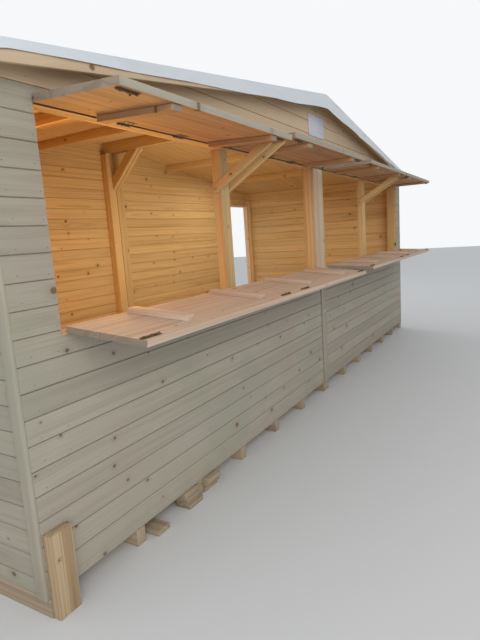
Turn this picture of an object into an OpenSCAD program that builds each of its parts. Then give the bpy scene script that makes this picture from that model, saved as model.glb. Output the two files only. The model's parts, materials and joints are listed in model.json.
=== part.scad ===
// Wooden market stall: two boarded halves side by side under one low gable.
// Frame: X along the front, Y from front to back, Z up.
// The origin is on the ground, in the middle of all that the stall covers in plan,
// from the edge of the counters in front to the edge of the roof sheet behind.

/* [Overall] */
// Width of one half, along the front
half_w = 3200; // [2600:50:4000]
// Depth from the front wall face to the back wall face
depth = 2500; // [2000:50:3500]
// Height of the roof sheet at the ridge
ridge_h = 2636; // [2500:1:3200]
// Height of the front gable at its outer ends, over the openings
gable_end_h = 132; // [100:1:300]
// Gap between the two halves
seam_gap = 8; // [4:1:20]

/* [Walls] */
// Thickness of the wall boards
wall_t = 28; // [18:1:40]
// Width of the boarded pier at each outer end of the front
pier_w = 225; // [180:5:400]
// Width of the trim on the side walls at each corner
trim_w = 58; // [30:1:100]
// Thickness of the corner trims
trim_t = 18; // [10:1:30]
// Width of the vertical seam boards below the counter
seam_board_w = 45; // [25:1:90]
// Thickness of the vertical seam boards
seam_board_t = 12; // [8:1:25]

/* [Floor] */
// Height of the floor joists, which lift the walls off the ground
joist_h = 85; // [60:1:150]
// Width of a floor joist
joist_w = 60; // [40:1:100]
// Floor joists in one half
joist_count = 7; // [4:1:9]
// Thickness of the floor boards
floor_t = 22; // [15:1:35]

/* [Serving openings] */
// Height of the bottom of the serving openings
open_z0 = 1135; // [950:5:1250]
// Height of the top of the serving openings
open_z1 = 2030; // [1900:1:2150]
// Width of the sill and header timbers
rail_w = 45; // [35:1:70]
// Height of the header over an opening
header_h = 95; // [70:1:100]
// Height of the sill under an opening
sill_h = 45; // [30:1:80]
// Depth of the sill
sill_w = 95; // [70:1:140]

/* [Posts] */
// Width of the posts beside the middle seam
centre_post_w = 105; // [70:1:140]
// Depth of the posts beside the middle seam
centre_post_d = 80; // [60:1:120]
// Width of the post in the middle of an opening
mid_post_w = 95; // [60:1:120]
// Depth of the post in the middle of an opening
mid_post_d = 60; // [50:1:80]
// Distance from the wall face to the front of the middle post
mid_post_setback = 38; // [36:1:60]
// Side of the square corner posts
corner_post = 70; // [50:1:100]
// Width of the jamb post at the outer end of an opening
jamb_post_w = 45; // [35:1:80]

/* [Roof] */
// Thickness of the roof sheet
sheet_t = 4; // [3:1:8]
// Thickness of the roof boards
roof_board_t = 20; // [15:1:30]
// Overhang of the roof boards in front and behind
overhang = 85; // [50:5:200]
// Overhang of the roof boards at the sides
side_overhang = 50; // [20:5:150]
// Thickness of the rake boards
rake_t = 20; // [15:1:30]
// Height of the rake boards
rake_h = 75; // [60:1:140]
// Drop of the roof sheet over the rake board at the eaves
hem_eave = 32; // [20:1:80]
// Drop of the roof sheet over the rake board at the ridge
hem_ridge = 115; // [60:1:180]
// Drop of the roof sheet at the side eaves
hem_side = 62; // [40:1:120]
// Gap between the roof boards and what they lie on, and under the roof sheet
seat_gap = 0.02; // [0.02:0.01:0.5]
// Width of the ridge beams
ridge_beam_w = 60; // [45:1:90]
// Height of the ridge beams
ridge_beam_h = 120; // [95:1:200]
// Width of the eave beams
eave_beam_w = 60; // [45:1:90]
// Height of the eave beams
eave_beam_h = 95; // [70:1:140]
// Width of a purlin
purlin_w = 45; // [35:1:70]
// Height of a purlin
purlin_h = 70; // [60:1:140]
// Purlins between ridge and eave in one half
purlin_count = 2; // [1:1:4]
// Reach of the knee brace at the back, along the ridge beam
brace_reach = 400; // [250:10:600]
// Width of the knee brace
brace_w = 95; // [60:1:120]
// Thickness of the knee brace
brace_t = 45; // [30:1:60]

/* [Flaps] */
// Gap between the free edges of a flap and a counter when both are closed
tip_gap = 10; // [5:1:30]
// Thickness of a flap
flap_t = 30; // [20:1:32]
// Angle by which the raised flap at the left end hangs below level
flap_droop_left = 3.2; // [0:0.1:8]
// Angle by which the other raised flaps hang below level
flap_droop = 0; // [0:0.1:8]
// Lap of a closed flap over the pier at the outer end of its opening
flap_lap = 10; // [0:1:30]
// Gap between the two flaps of one opening
flap_gap = 50; // [20:1:70]
// Thickness of a batten across a flap
flap_batten_t = 26; // [18:1:35]
// Width of a batten across a flap
flap_batten_w = 60; // [40:1:90]
// Half the distance between the two battens of a flap
flap_batten_x = 435; // [250:5:500]
// Shift of the battens of an outer flap towards the seam
flap_batten_shift = 60; // [0:5:80]
// Distance from the free edge of a flap to the end of its battens
flap_batten_end = 10; // [0:1:60]

/* [Counters] */
// Length of a counter from its hinge to its free edge
counter_len = 437; // [380:1:500]
// Thickness of a counter
counter_t = 27; // [20:1:32]
// Angle by which the left counter slopes down outwards
counter_droop_left = 5.5; // [0:0.1:8]
// Angle by which the right counter slopes down outwards
counter_droop_right = 3; // [0:0.1:8]
// Battens across a counter
counter_batten_count = 4; // [2:2:6]
// Distance between the battens across a counter
counter_batten_pitch = 700; // [450:10:750]
// Width of a batten across a counter
counter_batten_w = 60; // [40:1:90]
// Thickness of a batten across a counter
counter_batten_t = 25; // [18:1:35]
// Distance from the free edge of a counter to the end of its battens
counter_batten_end = 75; // [30:1:120]

/* [Struts] */
// Width of a strut
strut_w = 48; // [40:1:60]
// Thickness of a strut
strut_t = 22; // [16:1:30]
// Angle of a strut above level while its flap is raised
strut_angle = 31.5; // [25:0.5:35]
// Drop from the flap hinge to the strut's pivot
strut_drop = 240; // [220:1:300]
// Diameter of the strut bolt
bolt_d = 10; // [8:1:16]
// Diameter of the head and the nut of the strut bolt
bolt_head_d = 22; // [18:1:32]
// Thickness of the head and the nut of the strut bolt
bolt_head_t = 6; // [4:0.5:12]
// Play between a strut and the head of its bolt
bolt_play = 2; // [1:0.5:4]
// Play around the bolt in a strut
bore_play = 0.1; // [0.1:0.05:0.5]

/* [Hinges and clearances] */
// Gap around a moving leaf
leaf_gap = 6; // [5:0.5:12]
// Diameter of a hinge knuckle
knuckle_d = 10; // [8:1:11]
// Length of a hinge
hinge_l = 80; // [50:1:120]
// Height of the fixed plate of a hinge
hinge_plate_h = 40; // [25:1:60]
// Thickness of a hinge plate
hinge_plate_t = 2; // [1.5:0.5:4]
// Distance from the end of a flap to the middle of its first hinge
flap_hinge_inset = 500; // [420:10:550]
// Distance from the end of a counter to the middle of its first hinge
counter_hinge_inset = 250; // [150:10:400]
// Hinges along one counter
counter_hinge_count = 4; // [2:1:6]
// Distance from the hinge axis to the end of the battens on a leaf
batten_start = 25; // [15:1:60]

/* [Staff doorway] */
// Width of the doorway in the back wall
door_w = 700; // [600:10:900]
// Height of the doorway above the floor
door_h = 1890; // [1750:5:2150]
// Least height of the wall over the doorway
over_door_h = 60; // [40:5:150]
// Section of the door frame
door_frame_w = 30; // [20:1:45]
// Depth of the door frame
door_frame_d = 70; // [50:1:95]
// Thickness of the door boards
door_t = 22; // [18:1:35]
// Thickness of the ledges on the door
ledge_t = 22; // [18:1:30]
// Width of the ledges on the door
ledge_w = 95; // [70:1:120]
// Distance from the side of the door to the end of a ledge
ledge_end = 22; // [0:1:60]
// Gap above and below the door
door_play = 5; // [3:1:10]

/* [Small pieces] */
// Width of the plank at the left front corner
corner_plank_w = 110; // [60:1:160]
// Height of the plank at the left front corner
corner_plank_h = 367; // [200:1:600]
// Thickness of the plank at the left front corner
corner_plank_t = 45; // [25:1:70]
// Distance from the corner to the plank
corner_plank_x = 5; // [0:1:40]
// Width of the plain plate on the gable
plate_w = 360; // [200:5:500]
// Height of the plain plate on the gable
plate_h = 175; // [120:5:200]
// Distance from the ridge down to the middle of the plain plate
plate_drop = 251; // [200:1:320]
// Thickness of the plain plate
plate_t = 6; // [3:1:15]
// Thickness of a packing plank
packing_t = 28; // [18:1:40]
// Width of a packing plank
packing_w = 95; // [60:1:120]
// Length of the packing planks in a stack
packing_l = 130; // [80:5:150]
// Gap between a stack of packing planks and the joist beside it
packing_gap = 5; // [2:1:15]
// Distance that the packing planks stand out in front of the wall
packing_out = 40; // [10:1:80]
// Distance that each packing plank is set back from the one below or above it
packing_step = 15; // [0:1:20]
// Length of the loose plank under the front
loose_plank_l = 330; // [200:10:500]
// Distance from a joist to the loose plank
loose_plank_x = 50; // [10:5:120]

/* [Hidden] */
$fn = 48;

// The hinge axes stand off the wall face and off the opening by these amounts
axis_off = knuckle_d / 2 + 1;
axis_in = leaf_gap / 2;

// A flap closes what its counter leaves of the opening's height
flap_axis_z = open_z1 - axis_in;
counter_axis_z = open_z0 + axis_in;
flap_len = flap_axis_z - counter_axis_z - counter_len - tip_gap;

// How far an open leaf reaches in front of the wall
function leaf_reach(len, t, droop) = axis_off + len * cos(droop) + (axis_off + t) * sin(droop);

// How far the leaves and the roof reach in front, and the roof or the door behind
front_reach = max(leaf_reach(counter_len, counter_t, counter_droop_left),
                  leaf_reach(counter_len, counter_t, counter_droop_right),
                  leaf_reach(flap_len, flap_t, flap_droop_left),
                  leaf_reach(flap_len, flap_t, flap_droop), overhang + rake_t + sheet_t);
back_reach = max(overhang + rake_t + sheet_t, door_t + ledge_t);

face_y = (front_reach - back_reach - depth) / 2;
back_y = face_y + depth;
in_y0 = face_y + wall_t;
in_y1 = back_y - wall_t;
in_x = seam_gap / 2;
post_x = in_x + centre_post_w;
open_x0 = post_x;
open_x1 = half_w - pier_w;
open_mid = (open_x0 + open_x1) / 2;
wall_z0 = joist_h;
floor_z = joist_h + floor_t;
door_z1 = floor_z + door_h;
board_top = sheet_t + seat_gap;
board_drop = board_top + roof_board_t;
wall_drop = board_drop + seat_gap;
// The side walls are high enough for the serving openings and for the doorway
eave_h = wall_drop + max(open_z1 + gable_end_h, door_z1 + over_door_h);
roof_rise = (ridge_h - eave_h) / half_w;
roof_y0 = face_y - overhang;
roof_y1 = back_y + overhang;
eave_x = half_w + side_overhang;
ridge_z0 = ridge_h - wall_drop - ridge_beam_h;
mid_post_y0 = face_y + mid_post_setback;
mid_post_y1 = mid_post_y0 + mid_post_d;
door_x1 = half_w - wall_t - corner_post;
door_x0 = door_x1 - door_w;

axis_y = face_y - axis_off;
leaf_x0 = open_x0 + leaf_gap;
counter_x1 = open_x1 - leaf_gap;
flap_x1 = open_mid - flap_gap / 2;
flap_x2 = open_mid + flap_gap / 2;
flap_x3 = open_x1 + flap_lap;

strut_y = mid_post_y0 + mid_post_d / 2;
strut_z = flap_axis_z - strut_drop;
strut_x = mid_post_w / 2 + leaf_gap;
bolt_x = strut_x + strut_t + bolt_play;
joist_pitch = (half_w - in_x - joist_w) / (joist_count - 1);
packing_layers = floor(joist_h / packing_t);

// Cuts run past both faces of what they go through by this much
cut = 1;

colour_board = "#b9ae98";
colour_inside = "#c99b62";
colour_frame = "#cbb48a";
colour_counter = "#d9bfa3";
colour_fresh = "#d8b173";
colour_sheet = "#e8eef6";
colour_steel = "#8a8d90";

// The inner side of a joist of the right half, counted from the seam
function joist_x(i) = in_x + i * joist_pitch;

// The height of the roof at a distance from the ridge, less a drop
function roof_z(x, drop) = ridge_h - abs(x) * roof_rise - drop;

// Children drawn for the right half, and mirrored for the left half
module half(s) {
    if (s < 0) mirror([1, 0, 0]) children();
    else children();
}

module both_halves() {
    half(1) children();
    half(-1) children();
}

// A block given by its two opposite corners
module block(a, b) {
    translate(a) cube([b[0] - a[0], b[1] - a[1], b[2] - a[2]]);
}

// An outline in the X-Z plane, drawn out from y0 to y1
module along_y(y0, y1) {
    translate([0, y1, 0]) rotate([90, 0, 0]) linear_extrude(y1 - y0) children();
}

// An outline in the Y-Z plane, drawn out from x0 to x1
module along_x(x0, x1) {
    translate([x0, 0, 0]) rotate([90, 0, 90]) linear_extrude(x1 - x0) children();
}

// The outline between a level line and the underside of the roof
module under_roof(x0, x1, z0, drop) {
    polygon([[x0, z0], [x1, z0], [x1, roof_z(x1, drop)], [x0, roof_z(x0, drop)]]);
}

// The outline of a layer that follows the roof slope
module roof_layer(x0, x1, top, bottom) {
    polygon([[x0, roof_z(x0, bottom)], [x1, roof_z(x1, bottom)],
             [x1, roof_z(x1, top)], [x0, roof_z(x0, top)]]);
}

module floor_joists() {
    color(colour_frame)
    for (i = [0 : joist_count - 1])
        both_halves()
            block([joist_x(i), face_y, 0], [joist_x(i) + joist_w, back_y, joist_h]);
}

// The floor of the right half runs on through the doorway
module floor_boards() {
    color(colour_board) {
        both_halves() block([in_x, in_y0, joist_h], [half_w - wall_t, in_y1, floor_z]);
        block([door_x0, in_y0, joist_h], [door_x1, back_y, floor_z]);
    }
}

// A stack of short planks under the front wall of the left half, from x to the right.
// step is how far each plank is set back from the one below it.
module packing_stack(x, first, step) {
    for (i = [0 : packing_layers - 1]) {
        y = face_y - first + i * step;
        block([x, y, i * packing_t], [x + packing_l, y + packing_w, (i + 1) * packing_t]);
    }
}

// Two stacks stand beside the third joist from the left, and a loose plank lies
// beside the second
module packing_planks() {
    left_x = -joist_x(joist_count - 3) - joist_w - packing_gap - packing_l;
    right_x = -joist_x(joist_count - 3) + packing_gap;
    loose_x = -joist_x(joist_count - 2) + loose_plank_x;
    set_back = (packing_layers - 1) * packing_step;
    color(colour_fresh) {
        packing_stack(left_x, packing_out, packing_step);
        packing_stack(right_x, packing_out - set_back, -packing_step);
        block([loose_x, face_y - packing_out, 0],
              [loose_x + packing_w, face_y - packing_out + loose_plank_l, packing_t]);
    }
}

module corner_plank() {
    color(colour_fresh)
    block([-half_w + corner_plank_x, face_y - corner_plank_t, 0],
          [-half_w + corner_plank_x + corner_plank_w, face_y, corner_plank_h]);
}

module side_wall(s) {
    color(colour_board)
    half(s) along_y(in_y0, in_y1)
        under_roof(half_w - wall_t, half_w, wall_z0, wall_drop);
}

module left_wall() {
    side_wall(-1);
}

module right_wall() {
    side_wall(1);
}

module back_wall_left() {
    color(colour_board)
    half(-1) along_y(in_y1, back_y) under_roof(in_x, half_w, wall_z0, wall_drop);
}

module back_wall_right() {
    color(colour_board)
    along_y(in_y1, back_y) under_roof(in_x, door_x0, wall_z0, wall_drop);
}

module back_wall_over_door() {
    color(colour_board)
    along_y(in_y1, back_y) under_roof(door_x0, door_x1, door_z1, wall_drop);
}

module back_wall_corner() {
    color(colour_board)
    along_y(in_y1, back_y) under_roof(door_x1, half_w, wall_z0, wall_drop);
}

module front_wall(s) {
    color(colour_board)
    half(s) block([in_x, face_y, wall_z0], [half_w, in_y0, open_z0]);
}

module front_wall_left() {
    front_wall(-1);
}

module front_wall_right() {
    front_wall(1);
}

module front_piers() {
    color(colour_board)
    both_halves() block([open_x1, face_y, open_z0], [half_w, in_y0, open_z1]);
}

module front_gable() {
    color(colour_board)
    both_halves() along_y(face_y, in_y0) under_roof(in_x, half_w, open_z1, wall_drop);
}

module centre_facings() {
    color(colour_board)
    both_halves() block([in_x, face_y, open_z0], [post_x, in_y0, open_z1]);
}

module corner_posts() {
    x1 = half_w - wall_t;
    z1 = roof_z(x1, wall_drop) - eave_beam_h;
    color(colour_frame)
    both_halves() {
        block([x1 - corner_post, in_y0, floor_z], [x1, in_y0 + corner_post, z1]);
        block([x1 - corner_post, in_y1 - corner_post, floor_z], [x1, in_y1, z1]);
    }
}

module jamb_posts() {
    color(colour_frame)
    both_halves()
        block([open_x1, in_y0, floor_z], [open_x1 + jamb_post_w, in_y0 + sill_w, open_z1]);
}

module centre_posts() {
    color(colour_inside)
    both_halves() {
        block([in_x, in_y0, floor_z], [post_x, in_y0 + centre_post_d, ridge_z0]);
        block([in_x, in_y1 - centre_post_d, floor_z], [post_x, in_y1, ridge_z0]);
    }
}

module mid_posts() {
    x0 = open_mid - mid_post_w / 2;
    color(colour_inside)
    both_halves() difference() {
        block([x0, mid_post_y0, open_z0], [x0 + mid_post_w, mid_post_y1, open_z1]);
        translate([x0 - cut, strut_y, strut_z]) rotate([0, 90, 0])
            cylinder(d = bolt_d, h = mid_post_w + 2 * cut);
    }
}

// The headers are cut to the slope of the roof where they reach it
module headers() {
    x1 = open_x1 + jamb_post_w;
    color(colour_frame)
    both_halves() intersection() {
        block([open_x0, in_y0, open_z1], [x1, in_y0 + rail_w, open_z1 + header_h]);
        along_y(in_y0, in_y0 + rail_w) under_roof(open_x0, x1, open_z1, wall_drop);
    }
}

module sills() {
    color(colour_frame)
    both_halves()
        block([open_x0, in_y0, open_z0 - sill_h], [open_x1, in_y0 + sill_w, open_z0]);
}

module eave_beams() {
    x1 = half_w - wall_t;
    color(colour_frame)
    both_halves() along_y(in_y0, in_y1)
        under_roof(x1 - eave_beam_w, x1, roof_z(x1, wall_drop) - eave_beam_h, wall_drop);
}

module ridge_beams() {
    color(colour_inside)
    both_halves() along_y(in_y0, in_y1)
        under_roof(in_x, in_x + ridge_beam_w, ridge_z0, wall_drop);
}

module purlins() {
    x0 = in_x + ridge_beam_w;
    x1 = half_w - wall_t - eave_beam_w;
    pitch = (x1 - x0) / (purlin_count + 1);
    color(colour_inside)
    both_halves() for (i = [1 : purlin_count]) {
        x = x0 + i * pitch - purlin_w / 2;
        along_y(in_y0, in_y1) roof_layer(x, x + purlin_w, wall_drop, wall_drop + purlin_h);
    }
}

// The knee brace leans from the back post up to the ridge beam, at 45 degrees
module knee_braces() {
    y1 = in_y1 - centre_post_d;
    foot = brace_w * sqrt(2);
    color(colour_inside)
    both_halves() along_x(in_x, in_x + brace_t)
        polygon([[y1, ridge_z0 - brace_reach], [y1, ridge_z0 - brace_reach + foot],
                 [y1 - brace_reach + foot, ridge_z0], [y1 - brace_reach, ridge_z0]]);
}

module roof_boards() {
    color(colour_inside)
    both_halves() along_y(roof_y0, roof_y1) roof_layer(in_x, eave_x, board_top, board_drop);
}

// The sheet lies on the boards and hangs over the rakes and the side eaves
module roof_sheet() {
    x1 = eave_x + sheet_t;
    y0 = roof_y0 - rake_t - sheet_t;
    y1 = roof_y1 + rake_t + sheet_t;
    color(colour_sheet)
    union() {
        along_y(y0, y1)
            polygon([[-x1, roof_z(x1, sheet_t)], [0, ridge_h - sheet_t], [x1, roof_z(x1, sheet_t)],
                     [x1, roof_z(x1, 0)], [0, ridge_h], [-x1, roof_z(x1, 0)]]);
        for (y = [y0, y1 - sheet_t])
            along_y(y, y + sheet_t)
                polygon([[-x1, roof_z(x1, hem_eave)], [0, ridge_h - hem_ridge],
                         [x1, roof_z(x1, hem_eave)],
                         [x1, roof_z(x1, 0)], [0, ridge_h], [-x1, roof_z(x1, 0)]]);
        both_halves()
            block([eave_x, y0, roof_z(x1, hem_side)], [x1, y1, roof_z(x1, sheet_t / 2)]);
    }
}

module rake_boards() {
    color(colour_frame)
    for (y = [roof_y0 - rake_t, roof_y1])
        both_halves() along_y(y, y + rake_t)
            roof_layer(in_x, eave_x, board_top, board_top + rake_h);
}

module corner_trims() {
    x1 = half_w + trim_t;
    color(colour_board)
    both_halves() {
        along_y(face_y, face_y + trim_w) under_roof(half_w, x1, wall_z0, wall_drop);
        along_y(back_y - trim_w, back_y) under_roof(half_w, x1, wall_z0, wall_drop);
    }
}

module seam_boards() {
    color(colour_board)
    both_halves()
        block([in_x, face_y - seam_board_t, wall_z0],
              [in_x + seam_board_w, face_y, open_z0 - hinge_plate_h]);
}

module gable_plate() {
    color(colour_sheet)
    block([-plate_w / 2, face_y - plate_t, ridge_h - plate_drop - plate_h / 2],
          [plate_w / 2, face_y, ridge_h - plate_drop + plate_h / 2]);
}

module door_frame() {
    y0 = back_y - door_frame_d;
    color(colour_frame)
    difference() {
        block([door_x0, y0, floor_z], [door_x1, back_y, door_z1]);
        block([door_x0 + door_frame_w, y0 - cut, floor_z + door_frame_w],
              [door_x1 - door_frame_w, back_y + cut, door_z1 - door_frame_w]);
    }
}

// The door stands open, flat against the outside of the back wall
module staff_door() {
    x1 = door_x0;
    x0 = x1 - door_w;
    z0 = floor_z + door_play;
    z1 = door_z1 - door_play;
    color(colour_board)
    union() {
        block([x0, back_y, z0], [x1, back_y + door_t, z1]);
        for (z = [z0 + ledge_w, (z0 + z1 - ledge_w) / 2, z1 - 2 * ledge_w])
            block([x0 + ledge_end, back_y + door_t, z],
                  [x1 - ledge_end, back_y + door_t + ledge_t, z + ledge_w]);
    }
}

// One hinge: a plate on the wall face and a knuckle on the hinge axis.
// up is 1 where the plate stands above the axis and -1 where it hangs below.
module hinge(x, z, up) {
    plate_z0 = up > 0 ? z : z - axis_in - hinge_plate_h;
    plate_z1 = up > 0 ? z + axis_in + hinge_plate_h : z;
    translate([x - hinge_l / 2, axis_y, z]) rotate([0, 90, 0])
        cylinder(d = knuckle_d, h = hinge_l);
    block([x - hinge_l / 2, face_y - hinge_plate_t, plate_z0],
          [x + hinge_l / 2, face_y, plate_z1]);
    block([x - hinge_l / 2, axis_y, z - hinge_plate_t / 2],
          [x + hinge_l / 2, face_y - hinge_plate_t / 2, z + hinge_plate_t / 2]);
}

module flap_hinges() {
    color(colour_steel)
    both_halves()
        for (x = [leaf_x0 + flap_hinge_inset, flap_x1 - flap_hinge_inset,
                  flap_x2 + flap_hinge_inset, flap_x3 - flap_hinge_inset])
            hinge(x, flap_axis_z, 1);
}

module counter_hinges() {
    pitch = (counter_x1 - leaf_x0 - 2 * counter_hinge_inset) / (counter_hinge_count - 1);
    color(colour_steel)
    both_halves()
        for (i = [0 : counter_hinge_count - 1])
            hinge(leaf_x0 + counter_hinge_inset + i * pitch, counter_axis_z, -1);
}

module strut_bolts() {
    color(colour_steel)
    both_halves() translate([open_mid, strut_y, strut_z]) rotate([0, 90, 0]) {
        translate([0, 0, -bolt_x]) cylinder(d = bolt_d, h = 2 * bolt_x);
        translate([0, 0, -bolt_x - bolt_head_t]) cylinder(d = bolt_head_d, h = bolt_head_t);
        translate([0, 0, bolt_x]) cylinder(d = bolt_head_d, h = bolt_head_t);
    }
}

// A flap between x0 and x1, raised on its hinge axis. Its leaf lies above the axis and
// its battens are under the leaf, so that a closed flap hangs in front of the wall.
// shift is how far its battens lie towards the seam from its middle.
module flap(s, x0, x1, droop, shift) {
    mid = (x0 + x1) / 2 - shift;
    color(colour_frame)
    half(s) translate([0, axis_y, flap_axis_z]) rotate([droop, 0, 0]) union() {
        block([x0, -flap_len, axis_off], [x1, -leaf_gap, axis_off + flap_t]);
        for (x = [mid - flap_batten_x, mid + flap_batten_x])
            block([x - flap_batten_w / 2, flap_batten_end - flap_len, axis_off - flap_batten_t],
                  [x + flap_batten_w / 2, -batten_start, axis_off]);
    }
}

module flap_left_outer() {
    flap(-1, flap_x2, flap_x3, flap_droop_left, flap_batten_shift);
}

module flap_left_inner() {
    flap(-1, leaf_x0, flap_x1, flap_droop, 0);
}

module flap_right_inner() {
    flap(1, leaf_x0, flap_x1, flap_droop, 0);
}

module flap_right_outer() {
    flap(1, flap_x2, flap_x3, flap_droop, flap_batten_shift);
}

// A strut beside the middle post. Its upper end is cut parallel to its raised flap,
// and stops leaf_gap short of it. side is 1 away from the seam and -1 towards it.
module strut(s, side, droop) {
    lean = strut_angle + droop;
    pivot_n = (axis_y - strut_y) * sin(droop) - strut_drop * cos(droop);
    reach = axis_off - leaf_gap - pivot_n;
    top_s = (reach - strut_w / 2 * cos(lean)) / sin(lean);
    low_s = (reach + strut_w / 2 * cos(lean)) / sin(lean);
    x0 = side > 0 ? open_mid + strut_x : open_mid - strut_x - strut_t;
    color(colour_inside)
    half(s) translate([x0, strut_y, strut_z]) rotate([-strut_angle, 0, 0]) difference() {
        union() {
            rotate([90, 0, 90]) linear_extrude(strut_t)
                polygon([[0, -strut_w / 2], [0, strut_w / 2],
                         [-top_s, strut_w / 2], [-low_s, -strut_w / 2]]);
            rotate([0, 90, 0]) cylinder(d = strut_w, h = strut_t);
        }
        translate([-cut, 0, 0]) rotate([0, 90, 0])
            cylinder(d = bolt_d + 2 * bore_play, h = strut_t + 2 * cut);
    }
}

module strut_left_outer() {
    strut(-1, 1, flap_droop_left);
}

module strut_left_inner() {
    strut(-1, -1, flap_droop);
}

module strut_right_inner() {
    strut(1, -1, flap_droop);
}

module strut_right_outer() {
    strut(1, 1, flap_droop);
}

// Drawn on a counter that is folded down on its hinge axis
module on_counter(s, droop) {
    half(s) translate([0, axis_y, counter_axis_z]) rotate([droop, 0, 0]) children();
}

module counter(s, droop) {
    color(colour_counter)
    on_counter(s, droop)
        block([leaf_x0, -counter_len, axis_off], [counter_x1, -leaf_gap, axis_off + counter_t]);
}

module counter_battens(s, droop) {
    z0 = axis_off + counter_t;
    color(colour_counter)
    on_counter(s, droop)
        for (i = [0 : counter_batten_count - 1]) {
            x = open_mid + (i - (counter_batten_count - 1) / 2) * counter_batten_pitch;
            block([x - counter_batten_w / 2, counter_batten_end - counter_len, z0],
                  [x + counter_batten_w / 2, -batten_start, z0 + counter_batten_t]);
        }
}

module counter_left() {
    counter(-1, counter_droop_left);
}

module counter_right() {
    counter(1, counter_droop_right);
}

module counter_battens_left() {
    counter_battens(-1, counter_droop_left);
}

module counter_battens_right() {
    counter_battens(1, counter_droop_right);
}

floor_joists();
floor_boards();
packing_planks();
corner_plank();
left_wall();
right_wall();
back_wall_left();
back_wall_right();
back_wall_over_door();
back_wall_corner();
front_wall_left();
front_wall_right();
front_piers();
front_gable();
centre_facings();
corner_posts();
jamb_posts();
centre_posts();
mid_posts();
headers();
sills();
eave_beams();
ridge_beams();
purlins();
knee_braces();
roof_boards();
roof_sheet();
rake_boards();
corner_trims();
seam_boards();
gable_plate();
door_frame();
staff_door();
flap_hinges();
counter_hinges();
strut_bolts();
flap_left_outer();
flap_left_inner();
flap_right_inner();
flap_right_outer();
strut_left_outer();
strut_left_inner();
strut_right_inner();
strut_right_outer();
counter_left();
counter_right();
counter_battens_left();
counter_battens_right();
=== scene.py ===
"""Looks of a wooden market stall: boards, timbers, fittings, roof sheet, camera and light.

Sizes are in metres. X runs along the front, Y from the front to the back, and Z up.
"""

import json
import math
import random

import bmesh
import bpy
import numpy as np
from bpy.props import FloatProperty, FloatVectorProperty, IntProperty, PointerProperty
from mathutils import Matrix, Vector


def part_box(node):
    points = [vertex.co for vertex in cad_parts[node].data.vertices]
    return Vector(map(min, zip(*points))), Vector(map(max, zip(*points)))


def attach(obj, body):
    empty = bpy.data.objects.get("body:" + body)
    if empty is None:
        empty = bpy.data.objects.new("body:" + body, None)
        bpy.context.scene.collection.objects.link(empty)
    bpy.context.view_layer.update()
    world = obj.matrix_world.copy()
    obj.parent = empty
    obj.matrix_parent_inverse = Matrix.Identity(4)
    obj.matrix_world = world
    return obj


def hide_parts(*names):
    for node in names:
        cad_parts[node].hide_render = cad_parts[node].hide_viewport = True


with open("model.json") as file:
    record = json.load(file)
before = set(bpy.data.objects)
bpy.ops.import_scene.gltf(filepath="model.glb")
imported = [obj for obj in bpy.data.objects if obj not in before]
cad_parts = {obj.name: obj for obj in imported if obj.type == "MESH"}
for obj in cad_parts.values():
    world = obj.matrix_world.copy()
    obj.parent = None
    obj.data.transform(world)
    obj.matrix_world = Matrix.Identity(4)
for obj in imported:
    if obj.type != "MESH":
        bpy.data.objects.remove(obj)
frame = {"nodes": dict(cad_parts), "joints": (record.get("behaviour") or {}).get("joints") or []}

bl_info = {
    "name": "Wooden market stall",
    "version": (1, 0, 0),
    "blender": (4, 5, 0),
    "location": "View3D > Sidebar > Stall",
    "description": "Boards, timbers, fittings and a roof sheet for the frame of a market stall",
    "category": "Object",
}

# The stall's body: outer and inner end of a half, face and thickness of the front wall, how
# deep a wall is weathered, underside and sill of the front, the head and the outer end of the
# openings, and the roof
FACE_LOW, FACE_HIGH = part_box("front_wall_left")
HALF_W, IN_X = -FACE_LOW.x, -FACE_HIGH.x
FACE_Y, WALL_T = FACE_LOW.y, FACE_HIGH.y - FACE_LOW.y
LINING = WALL_T * 0.6
BASE_Z, SILL_Z = FACE_LOW.z, FACE_HIGH.z
HEAD_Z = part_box("front_piers")[1].z
PIER_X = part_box("sills")[1].x
POST_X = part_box("centre_facings")[1].x
BACK_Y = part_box("back_wall_left")[1].y
DOOR_LOW, DOOR_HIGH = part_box("door_frame")
GABLE_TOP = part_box("front_gable")[1].z
SLOPE = (GABLE_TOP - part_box("left_wall")[1].z) / (HALF_W - WALL_T - IN_X)
PITCH_ANGLE = math.atan(SLOPE)
SHEET_LOW, SHEET_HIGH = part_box("roof_sheet")
SIDE_HEM = SHEET_HIGH.z - SHEET_HIGH.x * SLOPE - SHEET_LOW.z

# The leaves: four flaps and two counters, with the distance from their hinge axis to the wall
JOINTS = {joint["name"]: joint for joint in frame["joints"]}
FLAPS = ("left_outer", "left_inner", "right_inner", "right_outer")
SIDES = {"left": -1, "right": 1}
HINGE_Y, FLAP_Z = JOINTS["flap_left_outer_hinge"]["pos_m"][1:]
COUNTER_Z = JOINTS["counter_left_hinge"]["pos_m"][2]
HINGE_OFF = FACE_Y - HINGE_Y
LEAF_GAP, TIP_GAP = 0.006, 0.010
FLAP_T, COUNTER_T = 0.030, 0.027
METAL_EDGE = 0.0006


def droop_of(leaf):
    """The angle, in radians, by which an open leaf hangs below level."""
    return math.radians(abs(90 - JOINTS[leaf + "_hinge"]["range_deg"][1]))


def length_of_counter():
    """The length of a counter from its hinge to its free edge."""
    droop = droop_of("counter_left")
    reach = HINGE_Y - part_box("counter_left")[0].y
    return (reach - (HINGE_OFF + COUNTER_T) * math.sin(droop)) / math.cos(droop)


COUNTER_LEN = length_of_counter()
FLAP_LEN = FLAP_Z - COUNTER_Z - COUNTER_LEN - TIP_GAP


def under_roof(x):
    """The height of the underside of the roof boards at a distance from the ridge."""
    return GABLE_TOP - (abs(x) - IN_X) * SLOPE


def colour(name, text, value):
    return FloatVectorProperty(name=name, description=text, subtype="COLOR", size=3,
                               min=0, max=1, default=value)


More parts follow.
